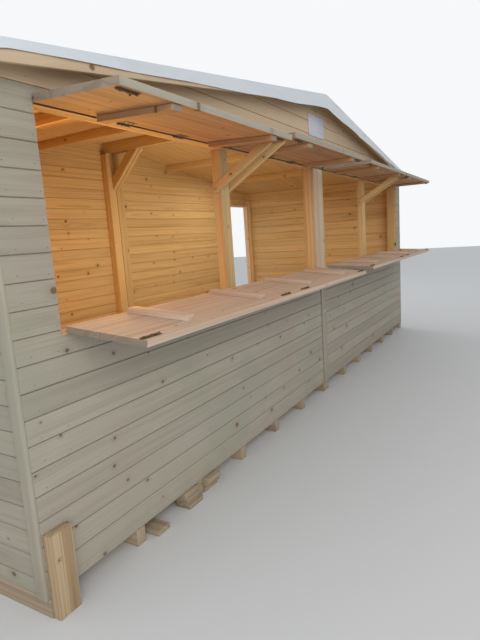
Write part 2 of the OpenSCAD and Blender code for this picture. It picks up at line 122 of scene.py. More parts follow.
def length(name, text, value):
    return FloatProperty(name=name, description=text, default=value, min=0, unit="LENGTH")


def power(name, text, value):
    return FloatProperty(name=name, description=text, default=value, min=0, unit="POWER")


def how_many(name, text, value):
    return IntProperty(name=name, description=text, default=value, min=1, max=12)


# Each wood: where it is used, its pale colour, that of its streaks, and what spruce() is given
WOODS = {
    "weathered_spruce": ("Boards outside", (0.365, 0.335, 0.270), (0.270, 0.235, 0.176),
                         dict(knots=0.55, knot_size=1.2, figure=0.62, weather=0.45)),
    # Partly a wood less weathered under the roof, and partly painted light: made lighter against
    # the shade under the roof's overhang
    "sheltered_spruce": ("Gable, rakes and facings", (0.60, 0.455, 0.31), (0.50, 0.35, 0.215),
                         dict(knots=0.50, figure=0.7, weather=0.12)),
    "warm_spruce": ("Boards and timbers inside", (0.64, 0.46, 0.225), (0.49, 0.32, 0.13),
                    dict(knots=0.45, knot_size=1.2)),
    # The flaps' undersides are the inside wood made darker: painted shade under the raised flaps
    "flap_spruce": ("Undersides of the flaps", (0.47, 0.295, 0.16), (0.33, 0.175, 0.083),
                    dict(knots=0.45, knot_size=1.1)),
    "counter_spruce": ("Tops of the counters", (0.60, 0.465, 0.365), (0.46, 0.325, 0.225),
                       dict(knots=0.35, knot_size=0.9)),
    "frame_spruce": ("Sills, door frame, floor", (0.70, 0.53, 0.37), (0.54, 0.37, 0.225),
                     dict(knots=0.40, knot_size=1.1)),
    "end_grain": ("Cut ends of the leaves", (0.30, 0.235, 0.175), (0.16, 0.12, 0.085),
                  dict(knots=0.0, figure=0.6)),
    "fresh_softwood": ("Fresh sawn corner plank", (0.43, 0.325, 0.20), (0.25, 0.155, 0.08),
                       dict(knots=0.40, knot_size=1.1, rough=0.72)),
    "joist_softwood": ("Greyed joists and packing", (0.37, 0.295, 0.205), (0.25, 0.185, 0.12),
                       dict(knots=0.40, knot_size=1.1, rough=0.76)),
}
# Each metal: its clean colour, that of its dirt, and the rest of what metal() is given
METALS = {
    "zinc_steel": ("zinc", "iron", 0.2, 0.36, 1.0),
    "dull_zinc": ("dull_zinc", "iron", 0.5, 0.52, 0.7),
    "dull_nails": ("nail", "iron", 0.6, 0.60, 0.4),
    "dark_iron": ("iron", "rust", 0.9, 0.50, 0.65),
}


class StallBoards(bpy.types.PropertyGroup):
    """Sizes of the tongued boards."""
    pitch: length("Board pitch", "Height that one wall board covers", 0.105)
    first_joint: length("First joint", "Height of the lowest joint of the front wall", 0.210)
    side_joint: length("First side joint", "Height of the lowest joint of the side walls", 0.1575)
    gap: length("Joint gap", "Gap between two boards, over the tongue", 0.0025)
    chamfer: length("Chamfer", "Chamfer on the long edges of a wall board", 0.004)
    fine_gap: length("Fine joint gap", "Gap between two boards of a leaf or the floor", 0.0005)
    fine_chamfer: length("Fine chamfer", "Chamfer on the boards of leaves and floor", 0.0011)
    tongue: length("Tongue", "Width of the tongue", 0.007)
    uneven: length("Unevenness", "How far a board may lie back from its neighbours", 0.0009)
    leaf_boards: how_many("Boards in a leaf", "Boards across a flap or counter", 5)
    door_boards: how_many("Boards in the door", "Boards across the staff door", 7)
    ease: length("Eased edge", "Rounding on the edges of planed timbers", 0.0025)
    seed: IntProperty(name="Seed", description="Seed of what varies from board to board", default=7)


class StallFinishes(bpy.types.PropertyGroup):
    """Colours of the finishes. The two colours of each wood are added below."""
    # The knot colour also paints the shadow at the head of the serving openings
    knot: colour("Knot", "Heart of a knot, and dark stains", (0.13, 0.070, 0.032))
    pink: colour("Pinkish tint", "Tint of some boards", (0.365, 0.295, 0.250))
    green: colour("Greenish tint", "Tint of some boards", (0.295, 0.300, 0.230))
    zinc: colour("Zinc", "Zinc plated steel", (0.50, 0.51, 0.52))
    dull_zinc: colour("Hinges", "Dull and dirty zinc of the hinges", (0.19, 0.165, 0.14))
    nail: colour("Nails", "Dull steel of the nail heads", (0.20, 0.16, 0.12))
    iron: colour("Iron", "Dark iron of the bolts", (0.115, 0.080, 0.050))
    rust: colour("Rust", "Rust on the bolts", (0.30, 0.17, 0.07))
    sheet: colour("Roof sheet", "White coated cloth", (0.60, 0.64, 0.685))
    sheet_shade: colour("Roof sheet, stained", "Dirt on the coated cloth", (0.49, 0.515, 0.53))
    plate: colour("Plate", "Plain plate on the gable", (0.52, 0.53, 0.60))


for wood, (use, pale, shade, _) in WOODS.items():
    title = wood.replace("_", " ").capitalize()
    StallFinishes.__annotations__[wood + "_pale"] = colour(title, use, pale)
    StallFinishes.__annotations__[wood + "_shade"] = colour(title + ", streaks", use, shade)


class StallFittings(bpy.types.PropertyGroup):
    """Sizes of the fittings."""
    nail_d: length("Nail head", "Diameter of a nail head", 0.0036)
    screw_d: length("Screw head", "Diameter of a screw head", 0.008)
    hinge_w: length("Hinge length", "Length of a hinge", 0.080)
    flap_hinge_inset: length("Flap hinge inset", "From the end of a flap to its first hinge", 0.500)
    counter_hinge_inset: length("Counter hinge inset",
                                "From the end of a counter to its first hinge", 0.250)
    leaf_plate: length("Moving plate", "Width of the plate of a hinge on its leaf", 0.046)
    plate_t: length("Plate thickness", "Thickness of hinge plates", 0.002)
    bolt_l: length("Bolt length", "Length of a barrel bolt's base", 0.115)
    bolt_w: length("Bolt width", "Width of a barrel bolt's base", 0.022)
    rod_d: length("Bolt rod", "Diameter of a barrel bolt's rod", 0.007)
    bolt_edge: length("Bolt to edge", "From the free edge of a leaf to a bolt's middle", 0.030)
    bolt_end: length("Bolt to outer end", "From a leaf's outer end to a bolt's middle", 0.075)
    bolt_post: length("Bolt to middle end", "From the end near the post to a bolt's middle", 0.121)


class StallSheet(bpy.types.PropertyGroup):
    """Sizes of the roof sheet."""
    hem_eave: length("Hem at the eave", "Drop of the front hem at the eaves", 0.032)
    hem_ridge: length("Hem at the ridge", "Drop of the front hem at the ridge", 0.115)
    thickness: length("Thickness", "Thickness of the coated cloth", 0.0012)
    cell: length("Cell", "Distance between the points of the sheet", 0.036)
    ripple: length("Ripple", "How far the hems wave", 0.0016)


class StallStage(bpy.types.PropertyGroup):
    """Camera, lamps and floor."""
    camera_x: FloatProperty(name="Camera X", description="Place of the camera", default=-4.344,
                            unit="LENGTH")
    camera_out: length("Camera distance", "From the front wall out to the camera", 1.649)
    camera_z: length("Camera height", "Height of the camera", 1.477)
    lens: FloatProperty(name="Focal length", description="Focal length of the camera",
                        default=28.125, min=1, unit="CAMERA")
    sky: FloatProperty(name="Sky", description="Strength of the even light", default=0.72, min=0)
    key: power("Outer lamps", "Power of the main lamp, twice that of the back lamp", 300.0)
    inner: power("Inner lamps", "Power that each pale lamp in the stall has a share of", 16.0)
    warm: power("Warm lamps", "Power of the warm lamp in the left half", 19.0)
    floor: colour("Floor", "Colour of the floor", (0.66, 0.66, 0.66))


def clear_selection():
    bpy.ops.object.select_all(action="DESELECT")


def pick_only(piece):
    """Selects one object alone and makes it the active one."""
    clear_selection()
    piece.select_set(True)
    bpy.context.view_layer.objects.active = piece


def settle(name):
    """Names the primitive that was just added, and puts its place and size in its mesh."""
    piece = bpy.context.active_object
    piece.name = piece.data.name = name
    bpy.ops.object.transform_apply(location=True, rotation=True, scale=True)
    return piece


def block(name, low, high):
    """A block between two corners."""
    low, high = Vector(low), Vector(high)
    clear_selection()
    bpy.ops.mesh.primitive_cube_add(size=1, location=(low + high) / 2)
    bpy.context.active_object.scale = high - low
    return settle(name)


def rod(name, start, along, radius, sides=12):
    """A round rod from a point, along a vector."""
    along = Vector(along)
    clear_selection()
    bpy.ops.mesh.primitive_cylinder_add(
        vertices=sides, radius=radius, depth=along.length, location=Vector(start) + along / 2,
        rotation=along.to_track_quat("Z", "Y").to_euler())
    return settle(name)


def start_edit(piece, kind="FACE"):
    """Opens a piece for editing, with nothing selected."""
    pick_only(piece)
    bpy.ops.object.mode_set(mode="EDIT")
    bpy.ops.mesh.select_mode(type=kind)
    bpy.ops.mesh.select_all(action="DESELECT")


def end_edit():
    bpy.ops.object.mode_set(mode="OBJECT")


def select(piece, kind, wanted):
    """Selects the "faces" or "edges" of a piece that pass a test, and nothing else."""
    bpy.ops.mesh.select_all(action="DESELECT")
    mesh = bmesh.from_edit_mesh(piece.data)
    for part in getattr(mesh, kind):
        part.select_set(wanted(part))
    bmesh.update_edit_mesh(piece.data)


def ease_edges(piece, width, segments=2, angle=30):
    """Rounds the sharp edges of a piece."""
    start_edit(piece, "EDGE")
    bpy.ops.mesh.edges_select_sharp(sharpness=math.radians(angle))
    bpy.ops.mesh.bevel(offset=width, segments=segments, affect="EDGES", clamp_overlap=True)
    end_edit()
    return piece


def join(name, pieces):
    """Joins pieces into one object."""
    clear_selection()
    for piece in pieces:
        piece.select_set(True)
    bpy.context.view_layer.objects.active = pieces[0]
    if len(pieces) > 1:
        bpy.ops.object.join()
    pieces[0].name = pieces[0].data.name = name
    return pieces[0]


def copy_of(piece):
    """A copy of a piece, with its own mesh."""
    copy = piece.copy()
    copy.data = piece.data.copy()
    bpy.context.scene.collection.objects.link(copy)
    return copy


def made_of(name, points, faces):
    """A piece from its points and faces."""
    mesh = bpy.data.meshes.new(name)
    mesh.from_pydata(points, [], faces)
    piece = bpy.data.objects.new(name, mesh)
    bpy.context.scene.collection.objects.link(piece)
    return piece


def place(piece, matrix):
    """Moves and turns a piece, with its place kept in its mesh."""
    pick_only(piece)
    piece.matrix_world = matrix
    bpy.ops.object.transform_apply(location=True, rotation=True, scale=True)
    return piece


def moved(x, y, z):
    return Matrix.Translation((x, y, z))


def turned(degrees, axis):
    return Matrix.Rotation(math.radians(degrees), 4, axis)


def facing(point, normal):
    """The matrix that puts a model made on the X-Y plane on a surface, facing its normal."""
    return Matrix.Translation(point) @ Vector(normal).to_track_quat("Z", "Y").to_matrix().to_4x4()


def cut_by_plane(piece, point, normal):
    """Cuts away what lies on the side that the normal points to, and closes the cut."""
    start_edit(piece)
    bpy.ops.mesh.select_all(action="SELECT")
    bpy.ops.mesh.bisect(plane_co=point, plane_no=normal, use_fill=True, clear_outer=True)
    end_edit()


def cut_out(piece, low, high):
    """Cuts a block out of a piece."""
    cutter = block("cutter", low, high)
    pick_only(piece)
    modifier = piece.modifiers.new("cut", "BOOLEAN")
    modifier.operation = "DIFFERENCE"
    modifier.solver = "EXACT"
    modifier.object = cutter
    bpy.ops.object.modifier_apply(modifier=modifier.name)
    bpy.data.objects.remove(cutter)


def many(name, model, matrices):
    """One mesh with a copy of a model at each matrix. The model is used up."""
    points = np.array([vertex.co[:] for vertex in model.data.vertices])
    all_points, all_faces = [], []
    for start, matrix in enumerate(matrices):
        all_points.append(points @ np.array(matrix.to_3x3()).T + np.array(matrix.translation))
        all_faces += [[start * len(points) + index for index in face.vertices]
                      for face in model.data.polygons]
    bpy.data.objects.remove(model)
    return made_of(name, np.concatenate(all_points).tolist(), all_faces)


def heads(name, diameter, spots, slot=True):
    """Low domed heads, one at each spot: of screws, or of nails where they have no slot."""
    clear_selection()
    bpy.ops.mesh.primitive_cylinder_add(vertices=8, radius=diameter / 2, depth=diameter * 0.3,
                                        location=(0, 0, diameter * 0.05))
    head = settle("head")
    start_edit(head)
    select(head, "faces", lambda face: face.normal.z > 0.9)
    bpy.ops.mesh.inset(thickness=diameter * 0.12, depth=diameter * 0.06)
    if slot:
        bpy.ops.mesh.inset(thickness=diameter * 0.14, depth=0)
        bpy.ops.mesh.inset(thickness=diameter * 0.02, depth=-diameter * 0.12)
    end_edit()
    return many(name, head, spots)


def islands(vertex_count, edges):
    """A number for each vertex, the same for all that edges join."""
    label = np.arange(vertex_count)
    while True:
        low = np.minimum(label[edges[:, 0]], label[edges[:, 1]])
        lower = label.copy()
        np.minimum.at(lower, edges[:, 0], low)
        np.minimum.at(lower, edges[:, 1], low)
        lower = lower[lower]
        if (lower == label).all():
            return label
        label = lower


def lay_grain(piece, chance):
    """Gives each timber of a piece a grain of its own, along its longest edge.

    The attribute "grain" runs along, across and through each timber, and "board" is one
    number for each.
    """
    mesh = piece.data
    points = np.array([vertex.co[:] for vertex in mesh.vertices])
    edges = np.array([edge.vertices[:] for edge in mesh.edges])
    spans = points[edges[:, 1]] - points[edges[:, 0]]
    span_lengths = np.linalg.norm(spans, axis=1)
    label = islands(len(points), edges)
    edge_label = label[edges[:, 0]]
    face_label = np.array([label[face.vertices[0]] for face in mesh.polygons])
    face_area = np.array([face.area for face in mesh.polygons])
    grain = np.zeros_like(points)
    number = np.zeros(len(points))
    for timber in np.unique(label):
        own = label == timber
        own_edges = np.flatnonzero(edge_label == timber)
        own_faces = np.flatnonzero(face_label == timber)
        if not len(own_faces):
            continue
        longest = own_edges[span_lengths[own_edges].argmax()]
        along = spans[longest] / span_lengths[longest]
        widest = own_faces[face_area[own_faces].argmax()]
        through = np.array(mesh.polygons[int(widest)].normal)
        axes = np.array([along, np.cross(through, along), through])
        # Each timber is sawn from a place of its own in the log
        offset = np.array([chance.uniform(0, 30), chance.uniform(-0.07, 0.07),
                           chance.uniform(0.03, 0.12) * chance.choice((-1, 1))])
        centre = (points[own].min(0) + points[own].max(0)) / 2
        grain[own] = (points[own] - centre) @ axes.T + offset
        number[own] = chance.random()
    for name, kind, field, values in (("grain", "FLOAT_VECTOR", "vector", grain),
                                      ("board", "FLOAT", "value", number)):
        attribute = mesh.attributes.new(name, kind, "POINT")
        attribute.data.foreach_set(field, values.astype(np.float32).ravel())


def dress(piece, body, finishes, nodes=(), chance=None, which=None, smooth=False):
    """Gives a piece its finishes, its body and the nodes that it stands for.

    Wood is given chance, to lay its grain. which takes a face's middle and normal, and gives
    the number of the finish that the face takes.
    """
    smooth_to = math.radians(35)
    if chance is not None:
        lay_grain(piece, chance)
    piece.data.materials.clear()
    for name in finishes:
        piece.data.materials.append(finish(name))
    for face in piece.data.polygons:
        face.material_index = int(which(face.center, face.normal)) if which else 0
    if smooth:
        pick_only(piece)
        bpy.ops.object.shade_smooth_by_angle(angle=smooth_to)
    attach(piece, body)
    if nodes:
        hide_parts(*nodes)


def tongued_board(long, wide, thick, gap, chamfer):
    """One board along X from 0, its faces square to Y and its tongue up."""
    tongue, spare, near = bpy.context.scene.stall_boards.tongue, 0.02, 1e-5
    z0, z1 = gap / 2, wide - gap / 2
    board = block("board", (-spare, 0, z0), (long + spare, thick, z1))

    def is_middle(face, way):
        """The middle third of the upper or the lower side."""
        return (face.normal.z * way > 0.9
                and abs(face.calc_center_median().y - thick / 2) < thick / 6)

    def is_long_edge(edge):
        a, b = edge.verts[0].co, edge.verts[1].co
        return (abs(a.x - b.x) > long / 2 and min(a.y, thick - a.y) < near
                and min(abs(a.z - z0), abs(a.z - z1)) < near)

    start_edit(board)
    for y in (thick / 3, 2 * thick / 3):
        bpy.ops.mesh.select_all(action="SELECT")
        bpy.ops.mesh.bisect(plane_co=(0, y, 0), plane_no=(0, 1, 0))
    for way, depth in ((1, tongue), (-1, tongue + gap / 2)):
        select(board, "faces", lambda face: is_middle(face, way))
        bpy.ops.mesh.extrude_region_move(TRANSFORM_OT_translate={"value": (0, 0, depth)})
    bpy.ops.mesh.select_mode(type="EDGE")
    select(board, "edges", is_long_edge)
    bpy.ops.mesh.bevel(offset=chamfer, offset_type="WIDTH", segments=1, affect="EDGES")
    end_edit()
    cut_by_plane(board, (0, 0, 0), (-1, 0, 0))
    cut_by_plane(board, (long, 0, 0), (1, 0, 0))
    return board


def board_panel(name, long, thick, joints, chance, fine=False, opening=None):
    """Boards along X from 0, one above the other, between the heights that joints lists.

    fine gives the close joints of leaves and decks. opening is a hole from x0 to x1 and from
    z0 to z1, cut board by board.
    """
    boards = bpy.context.scene.stall_boards
    wide, past = boards.pitch, 0.05
    gap = boards.fine_gap if fine else boards.gap
    model = tongued_board(long, wide, thick, gap, boards.fine_chamfer if fine else boards.chamfer)
    courses = []
    for low, high in zip(joints, joints[1:]):
        course = copy_of(model)
        back = chance.uniform(0, boards.uneven)
        for vertex in course.data.vertices:
            if vertex.co.z > wide / 2:
                vertex.co.z += high - low - wide
            vertex.co += Vector((0, back, low))
        if opening:
            x0, x1, z0, z1 = opening
            if low < z1 and high + boards.tongue > z0:
                cut_out(course, (x0, -past, z0), (x1, thick + past, z1))
        courses.append(course)
    bpy.data.objects.remove(model)
    cut_by_plane(courses[-1], (0, 0, joints[-1]), (0, 0, 1))
    return join(name, courses)


def joints_up_to(first, top):
    """Heights of the joints of a wall, from its underside to past its top."""
    heights = [BASE_Z, first]
    while heights[-1] < top:
        heights.append(heights[-1] + bpy.context.scene.stall_boards.pitch)
    return heights


def even_joints(total, count):
    return [total * i / count for i in range(count + 1)]


def cut_to_roof(piece, side):
    """Cuts a wall to the underside of the roof. side is 1 on the right and -1 on the left."""
    cut_by_plane(piece, (side * IN_X, 0, GABLE_TOP), (side * SLOPE, 0, 1))
    return piece


def gable_wall(name, y, openings, chance):
    """The boards of the front or the back wall in two halves, cut to the roof.

    openings has a hole for each half, from x0 to x1 and from z0 to z1, or None.
    """
    joints = joints_up_to(bpy.context.scene.stall_boards.first_joint, GABLE_TOP)
    halves = []
    for side, left, opening in zip((-1, 1), (-HALF_W, IN_X), openings):
        if opening:
            x0, x1, z0, z1 = opening
            opening = (x0 - left, x1 - left, z0, z1)
        half = board_panel("half", HALF_W - IN_X, WALL_T, joints, chance, opening=opening)
        halves.append(cut_to_roof(place(half, moved(left, y, 0)), side))
    return join(name, halves)


def leaf_panel(name, x0, x1, long, thick, chance):
    """The boards of a leaf in its own outline, from the hinge out to its free edge.

    In that outline Y is minus the distance from the hinge axis, and Z the height over it.
    """
    joints = even_joints(long - LEAF_GAP, bpy.context.scene.stall_boards.leaf_boards)
    panel = board_panel(name, x1 - x0, thick, joints, chance, fine=True)
    return place(panel, moved(x0, -LEAF_GAP, HINGE_OFF) @ turned(90, "X"))


def hang(piece, leaf):
    """Moves what was made in a leaf's own outline to its hinge, and lets it droop."""
    _, y, z = JOINTS[leaf + "_hinge"]["pos_m"]
    piece.data.transform(moved(0, y, z) @ Matrix.Rotation(droop_of(leaf), 4, "X"))


def planed_copy(node, name=None):
    """A timber of the frame as one clean mesh with eased edges."""
    piece = copy_of(frame["nodes"][node])
    for key in list(piece.keys()):
        del piece[key]
    piece.parent = None
    piece.name = piece.data.name = name or node + "_planed"
    start_edit(piece, "VERT")
    bpy.ops.mesh.select_all(action="SELECT")
    bpy.ops.mesh.remove_doubles(threshold=1e-5)
    bpy.ops.mesh.dissolve_limited(angle_limit=math.radians(1))
    end_edit()
    return ease_edges(piece, bpy.context.scene.stall_boards.ease)


def plane_timber(node, body, wood, chance):
    """Stands a planed copy in for a timber of the frame, in its wood."""
    dress(planed_copy(node), body, (wood,), (node,), chance, smooth=True)


class Nodes:
    """A small builder of the nodes of a finish or of the sky."""

    def __init__(self, owner):
        owner.use_nodes = True
        self.tree = owner.node_tree
        self.tree.nodes.clear()

    def fill(self, node, inputs):
        """Gives inputs of a node their numbers, colours or sockets."""
        for key, value in inputs.items():
            if isinstance(value, bpy.types.NodeSocket):
                self.tree.links.new(value, node.inputs[key])
            else:
                node.inputs[key].default_value = value

    def add(self, kind, inputs=None, **values):
        """Adds a node. inputs are numbers, colours or sockets, by the input's name."""
        node = self.tree.nodes.new(kind)
        for key, value in values.items():
            setattr(node, key, value)
        self.fill(node, inputs or {})
        return node

    def math(self, operation, *values):
        return self.add("ShaderNodeMath", dict(enumerate(values)), operation=operation).outputs[0]

    def plus(self, first, second):
        return self.math("ADD", first, second)

    def times(self, *values):
        """The first value times the second, plus a third one if it is given."""
        return self.math("MULTIPLY" if len(values) == 2 else "MULTIPLY_ADD", *values)


class Shader(Nodes):
    """The nodes of one finish."""

    def __init__(self, name):
        self.material = bpy.data.materials.new(name)
        super().__init__(self.material)
        self.surface = self.add("ShaderNodeBsdfPrincipled")
        self.add("ShaderNodeOutputMaterial", {0: self.surface.outputs[0]})

    def vector(self, operation, *values):
        return self.add("ShaderNodeVectorMath", dict(enumerate(values)),
                        operation=operation).outputs[0]

    def mix(self, share, first, second):
        """A mix of two colours."""
        inputs = {0: share}
        for index, value in ((6, first), (7, second)):
            inputs[index] = value if isinstance(value, bpy.types.NodeSocket) else (*value, 1)
        return self.add("ShaderNodeMix", inputs, data_type="RGBA").outputs[2]

    def ramp(self, value, low, high):
        """A smooth step from 0 to 1 between two values."""
        return self.add("ShaderNodeMapRange", {0: value, 1: low, 2: high},
                        interpolation_type="SMOOTHSTEP").outputs[0]

    def noise(self, where, scale, detail=2.0, out="Fac", dimensions="3D"):
        """Noise from 0 to 1, as one number or as a colour."""
        return self.add("ShaderNodeTexNoise", {"Vector": where, "Scale": scale, "Detail": detail},
                        noise_dimensions=dimensions).outputs[out]

    def parts(self, where):
        return self.add("ShaderNodeSeparateXYZ", {0: where}).outputs

    def point(self, x=0.0, y=0.0, z=0.0):
        return self.add("ShaderNodeCombineXYZ", {0: x, 1: y, 2: z}).outputs[0]

    def object_place(self):
        return self.add("ShaderNodeTexCoord").outputs["Object"]

    def bump(self, height, strength, distance):
        bump = self.add("ShaderNodeBump", {"Height": height, "Strength": strength,
                                           "Distance": distance})
        self.set(Normal=bump.outputs[0])

    def set(self, **inputs):
        """Sets or links inputs of the surface, with _ for a space in a name."""
        self.fill(self.surface, {key.replace("_", " "): value for key, value in inputs.items()})


def colour_of(name):
    """One of the colours that a user may change."""
    return getattr(bpy.context.scene.stall_finishes, name)[:]


def spruce(name, wood, knots, knot_size=1.0, figure=1.0, weather=0.0, rough=0.66,
           shadow_painted_below=0.0):
    """Spruce with growth rings, streaks along the grain, knots and a tone of its own a board.

    knots is the share of the cells with a knot, figure how strongly rings and streaks show,
    and weather how much the pinkish and greenish tints do. The last argument is a height,
    and under it the wood between the piers is darkened: a painted shadow of the gap behind the
    flaps' hinges.
    """
    cell_l, cell_w, least_knot, more_knot = 0.42, 0.115, 0.0035 * knot_size, 0.011 * knot_size
    ring_wave, streak_wave, fibre_wave, shadow_fade = 1250.0, 75.0, 420.0, 0.03
    pale, shade, dark = colour_of(wood + "_pale"), colour_of(wood + "_shade"), colour_of("knot")
    s = Shader(name)
    grain = s.add("ShaderNodeAttribute", attribute_name="grain").outputs["Vector"]
    board = s.add("ShaderNodeAttribute", attribute_name="board").outputs["Fac"]
    x, y, z = s.parts(grain)

    # A knot in some of the cells along each board
    cell = s.point(s.math("DIVIDE", x, cell_l), s.times(y, 1 / cell_w, s.times(board, 61.0)))
    cells = s.add("ShaderNodeTexVoronoi", {"Vector": cell, "Scale": 1.0, "Randomness": 0.85},
                  voronoi_dimensions="2D").outputs
    draw, size = s.parts(cells["Color"])[:2]
    to_knot = s.vector("MULTIPLY", s.vector("SUBTRACT", cell, cells["Position"]),
                       (cell_l * 0.8, cell_w, 0))
    distance = s.add("ShaderNodeVectorMath", {0: to_knot}, operation="LENGTH").outputs["Value"]
    present = s.math("LESS_THAN", draw, knots)
    radius = s.times(s.math("POWER", size, 2.0), more_knot, least_knot)

    def near_knot(low, high):
        """1 up to a distance from the knot, and 0 past a longer one."""
        return s.times(present, s.math("SUBTRACT", 1.0, s.ramp(distance, low, high)))

    heart = near_knot(s.times(radius, 0.6), s.times(radius, 1.15))
    halo = near_knot(radius, s.times(radius, 3.6))

    # Growth rings, pushed aside by the knots
    wander = s.noise(s.vector("MULTIPLY", s.vector("ADD", grain, s.point(board, board, board)),
                              (0.8, 4.0, 4.0)), 1.0, out="Color")
    sway, swell = s.parts(wander)[:2]
    ring_y = s.times(sway, 0.030, y)
    ring_z = s.plus(s.times(swell, 0.030, z), s.times(halo, 0.008))
    ring = s.math("SQRT", s.plus(s.times(ring_y, ring_y), s.times(ring_z, ring_z)))
    late = s.math("POWER", s.times(s.math("SINE", s.times(ring, ring_wave)), 0.5, 0.5), 2.2)
    streak = s.ramp(s.noise(s.point(s.times(ring, streak_wave), s.times(x, 0.5)), 1.0, 3.0,
                            dimensions="2D"), 0.38, 0.72)
    fibre = s.noise(s.vector("MULTIPLY", grain, (9.0, fibre_wave, fibre_wave)), 1.0)

    # Colour: rings and streaks, the board's own tone, weather, a painted shadow and knots
    base = s.mix(s.plus(s.times(streak, 0.62 * figure), s.times(late, 0.34 * figure)), pale, shade)
    tone = s.plus(s.times(board, 0.17, 0.87), s.times(fibre, 0.10))
    base = s.add("ShaderNodeVectorMath", {0: base, 3: tone}, operation="SCALE").outputs[0]
    if weather:
        where = s.object_place()
        across, _, height = s.parts(where)
        patch = s.noise(where, 1.7)
        base = s.mix(s.times(s.ramp(patch, 0.48, 0.70), weather), base, colour_of("pink"))
        base = s.mix(s.times(s.ramp(patch, 0.50, 0.30), weather), base, colour_of("green"))
        splash = s.times(s.ramp(height, 0.30, 0.08), s.times(s.noise(where, 9.0, 3.0), 0.55))
        base = s.mix(splash, base, shade)
        # Painted shadow: under the given height the wood between the piers is darkened to the knot
        # colour, the shade in the gap behind the flaps' hinges
        if shadow_painted_below:
            between = s.math("LESS_THAN", s.math("ABSOLUTE", across), PIER_X)
            stain_and_shadow = s.ramp(height, shadow_painted_below, shadow_painted_below - shadow_fade)
            base = s.mix(s.times(stain_and_shadow, s.times(between, 0.92)), base, dark)
    base = s.mix(s.times(halo, 0.42), base, shade)
    base = s.mix(s.times(heart, 0.82), base, dark)
    s.set(Base_Color=base, Specular_IOR_Level=0.28, Roughness=s.times(fibre, 0.16, rough - 0.08))
    relief = s.plus(s.times(late, -0.35), s.times(fibre, 0.6))
    s.bump(s.plus(relief, s.times(heart, -0.5)), 0.35, 0.0006)
    return s.material


def head_spruce(name):
    """The board at the head of the serving openings, with a painted shadow along the flaps' hinge
    line.
    """
    look = {**WOODS["weathered_spruce"][3], "knot_size": 1.0}
    return spruce(name, "weathered_spruce", shadow_painted_below=HEAD_Z + 0.045, **look)


def metal(name, clean, dirt, dirt_share, rough, metallic):
    """Metal with duller and dirtier places."""
    s = Shader(name)
    where = s.object_place()
    spots = s.ramp(s.noise(where, 70.0, 4.0), 0.62 - dirt_share * 0.3, 0.72)
    fine = s.noise(where, 600.0)
    s.set(Base_Color=s.mix(spots, colour_of(clean), colour_of(dirt)), Metallic=metallic,
          Roughness=s.times(spots, 0.25, s.times(fine, 0.15, rough)))
    s.bump(s.plus(fine, spots), 0.2, 0.0002)
    return s.material


def coated_cloth(name):
    """White coated cloth with faint stains, a weave that shows through and soft creases."""
    thread_wave = 3900.0
    s = Shader(name)
    where = s.object_place()
    stain_and_shadow = s.ramp(s.noise(s.vector("MULTIPLY", where, (1.2, 1.2, 6.0)), 1.6, 4.0), 0.50, 0.80)
    speck = s.ramp(s.noise(where, 55.0, 3.0), 0.66, 0.74)
    base = s.mix(s.times(stain_and_shadow, 0.45), colour_of("sheet"), colour_of("sheet_shade"))
    base = s.mix(s.times(speck, 0.35), base, colour_of("sheet_shade"))
    x, y, z = s.parts(where)
    thread = s.plus(s.math("SINE", s.times(x, thread_wave)),
                    s.math("SINE", s.times(s.plus(y, z), thread_wave)))
    crease = s.noise(s.vector("MULTIPLY", where, (2.0, 5.0, 5.0)), 2.2, 3.0)
    s.set(Base_Color=base, Specular_IOR_Level=0.45, Roughness=s.times(stain_and_shadow, 0.2, 0.42))
    s.bump(s.plus(s.times(thread, 0.02), crease), 0.35, 0.004)
    return s.material


def plain_plastic(name):
    """A plain pale plate, a little scuffed."""
    s = Shader(name)
    scuff = s.noise(s.object_place(), 40.0, 4.0)
    base = s.mix(s.times(s.ramp(scuff, 0.5, 0.75), 0.2), colour_of("plate"),
                 colour_of("sheet_shade"))
    s.set(Base_Color=base, Roughness=s.times(scuff, 0.25, 0.35))
    s.bump(scuff, 0.1, 0.0003)
    return s.material


FINISHES = {}
OTHER_FINISHES = {"head_spruce": head_spruce, "coated_cloth": coated_cloth,
                  "plain_plate": plain_plastic}


def finish(name):
    """One of the stall's finishes, made when it is first asked for."""
    if name not in FINISHES:
        if name in WOODS:
            FINISHES[name] = spruce(name, name, **WOODS[name][3])
        elif name in METALS:
            FINISHES[name] = metal(name, *METALS[name])
        else:
            FINISHES[name] = OTHER_FINISHES[name](name)
    return FINISHES[name]


class StallOperator(bpy.types.Operator):
    """What the operators of the stall have in common."""
    bl_options = {"REGISTER", "UNDO"}

    def execute(self, context):
        """Makes the piece with its own order of chance, and ends well or with an error."""
        boards = context.scene.stall_boards
        self.make(context, random.Random(f"{self.bl_idname} {boards.seed}"))
        return {"FINISHED"}


class STALL_OT_front_boards(StallOperator):
    """Boards the front wall, its piers and its gable, round the serving openings"""
    bl_idname = "stall.front_boards"
    bl_label = "Front boards"

    def make(self, context, chance):
        past, slack, sill_cut, head_board = 0.05, 0.004, 0.01, 0.03
        joints = joints_up_to(context.scene.stall_boards.first_joint, GABLE_TOP)
        above_head = min(z for z in joints if z > HEAD_Z) - slack

        def finish_of(mid, normal):
            """Warm inside and round the openings, sheltered and painted lighter on the gable,
            painted shadow at the head.
            """
            cut_face = mid.z > SILL_Z - sill_cut and mid.y > FACE_Y + slack and normal.y > -0.5
            if cut_face or mid.y > FACE_Y + LINING:
                return 1
            if mid.z > above_head:
                return 2
            return 3 if mid.z > HEAD_Z - head_board else 0

        piece = gable_wall("front_boards", FACE_Y, ((-PIER_X, past, SILL_Z, HEAD_Z),
                                                    (-past, PIER_X, SILL_Z, HEAD_Z)), chance)
        dress(piece, "stall",
              ("weathered_spruce", "warm_spruce", "sheltered_spruce", "head_spruce"),
              ("front_wall_left", "front_wall_right", "front_piers", "front_gable"),
              chance, finish_of)


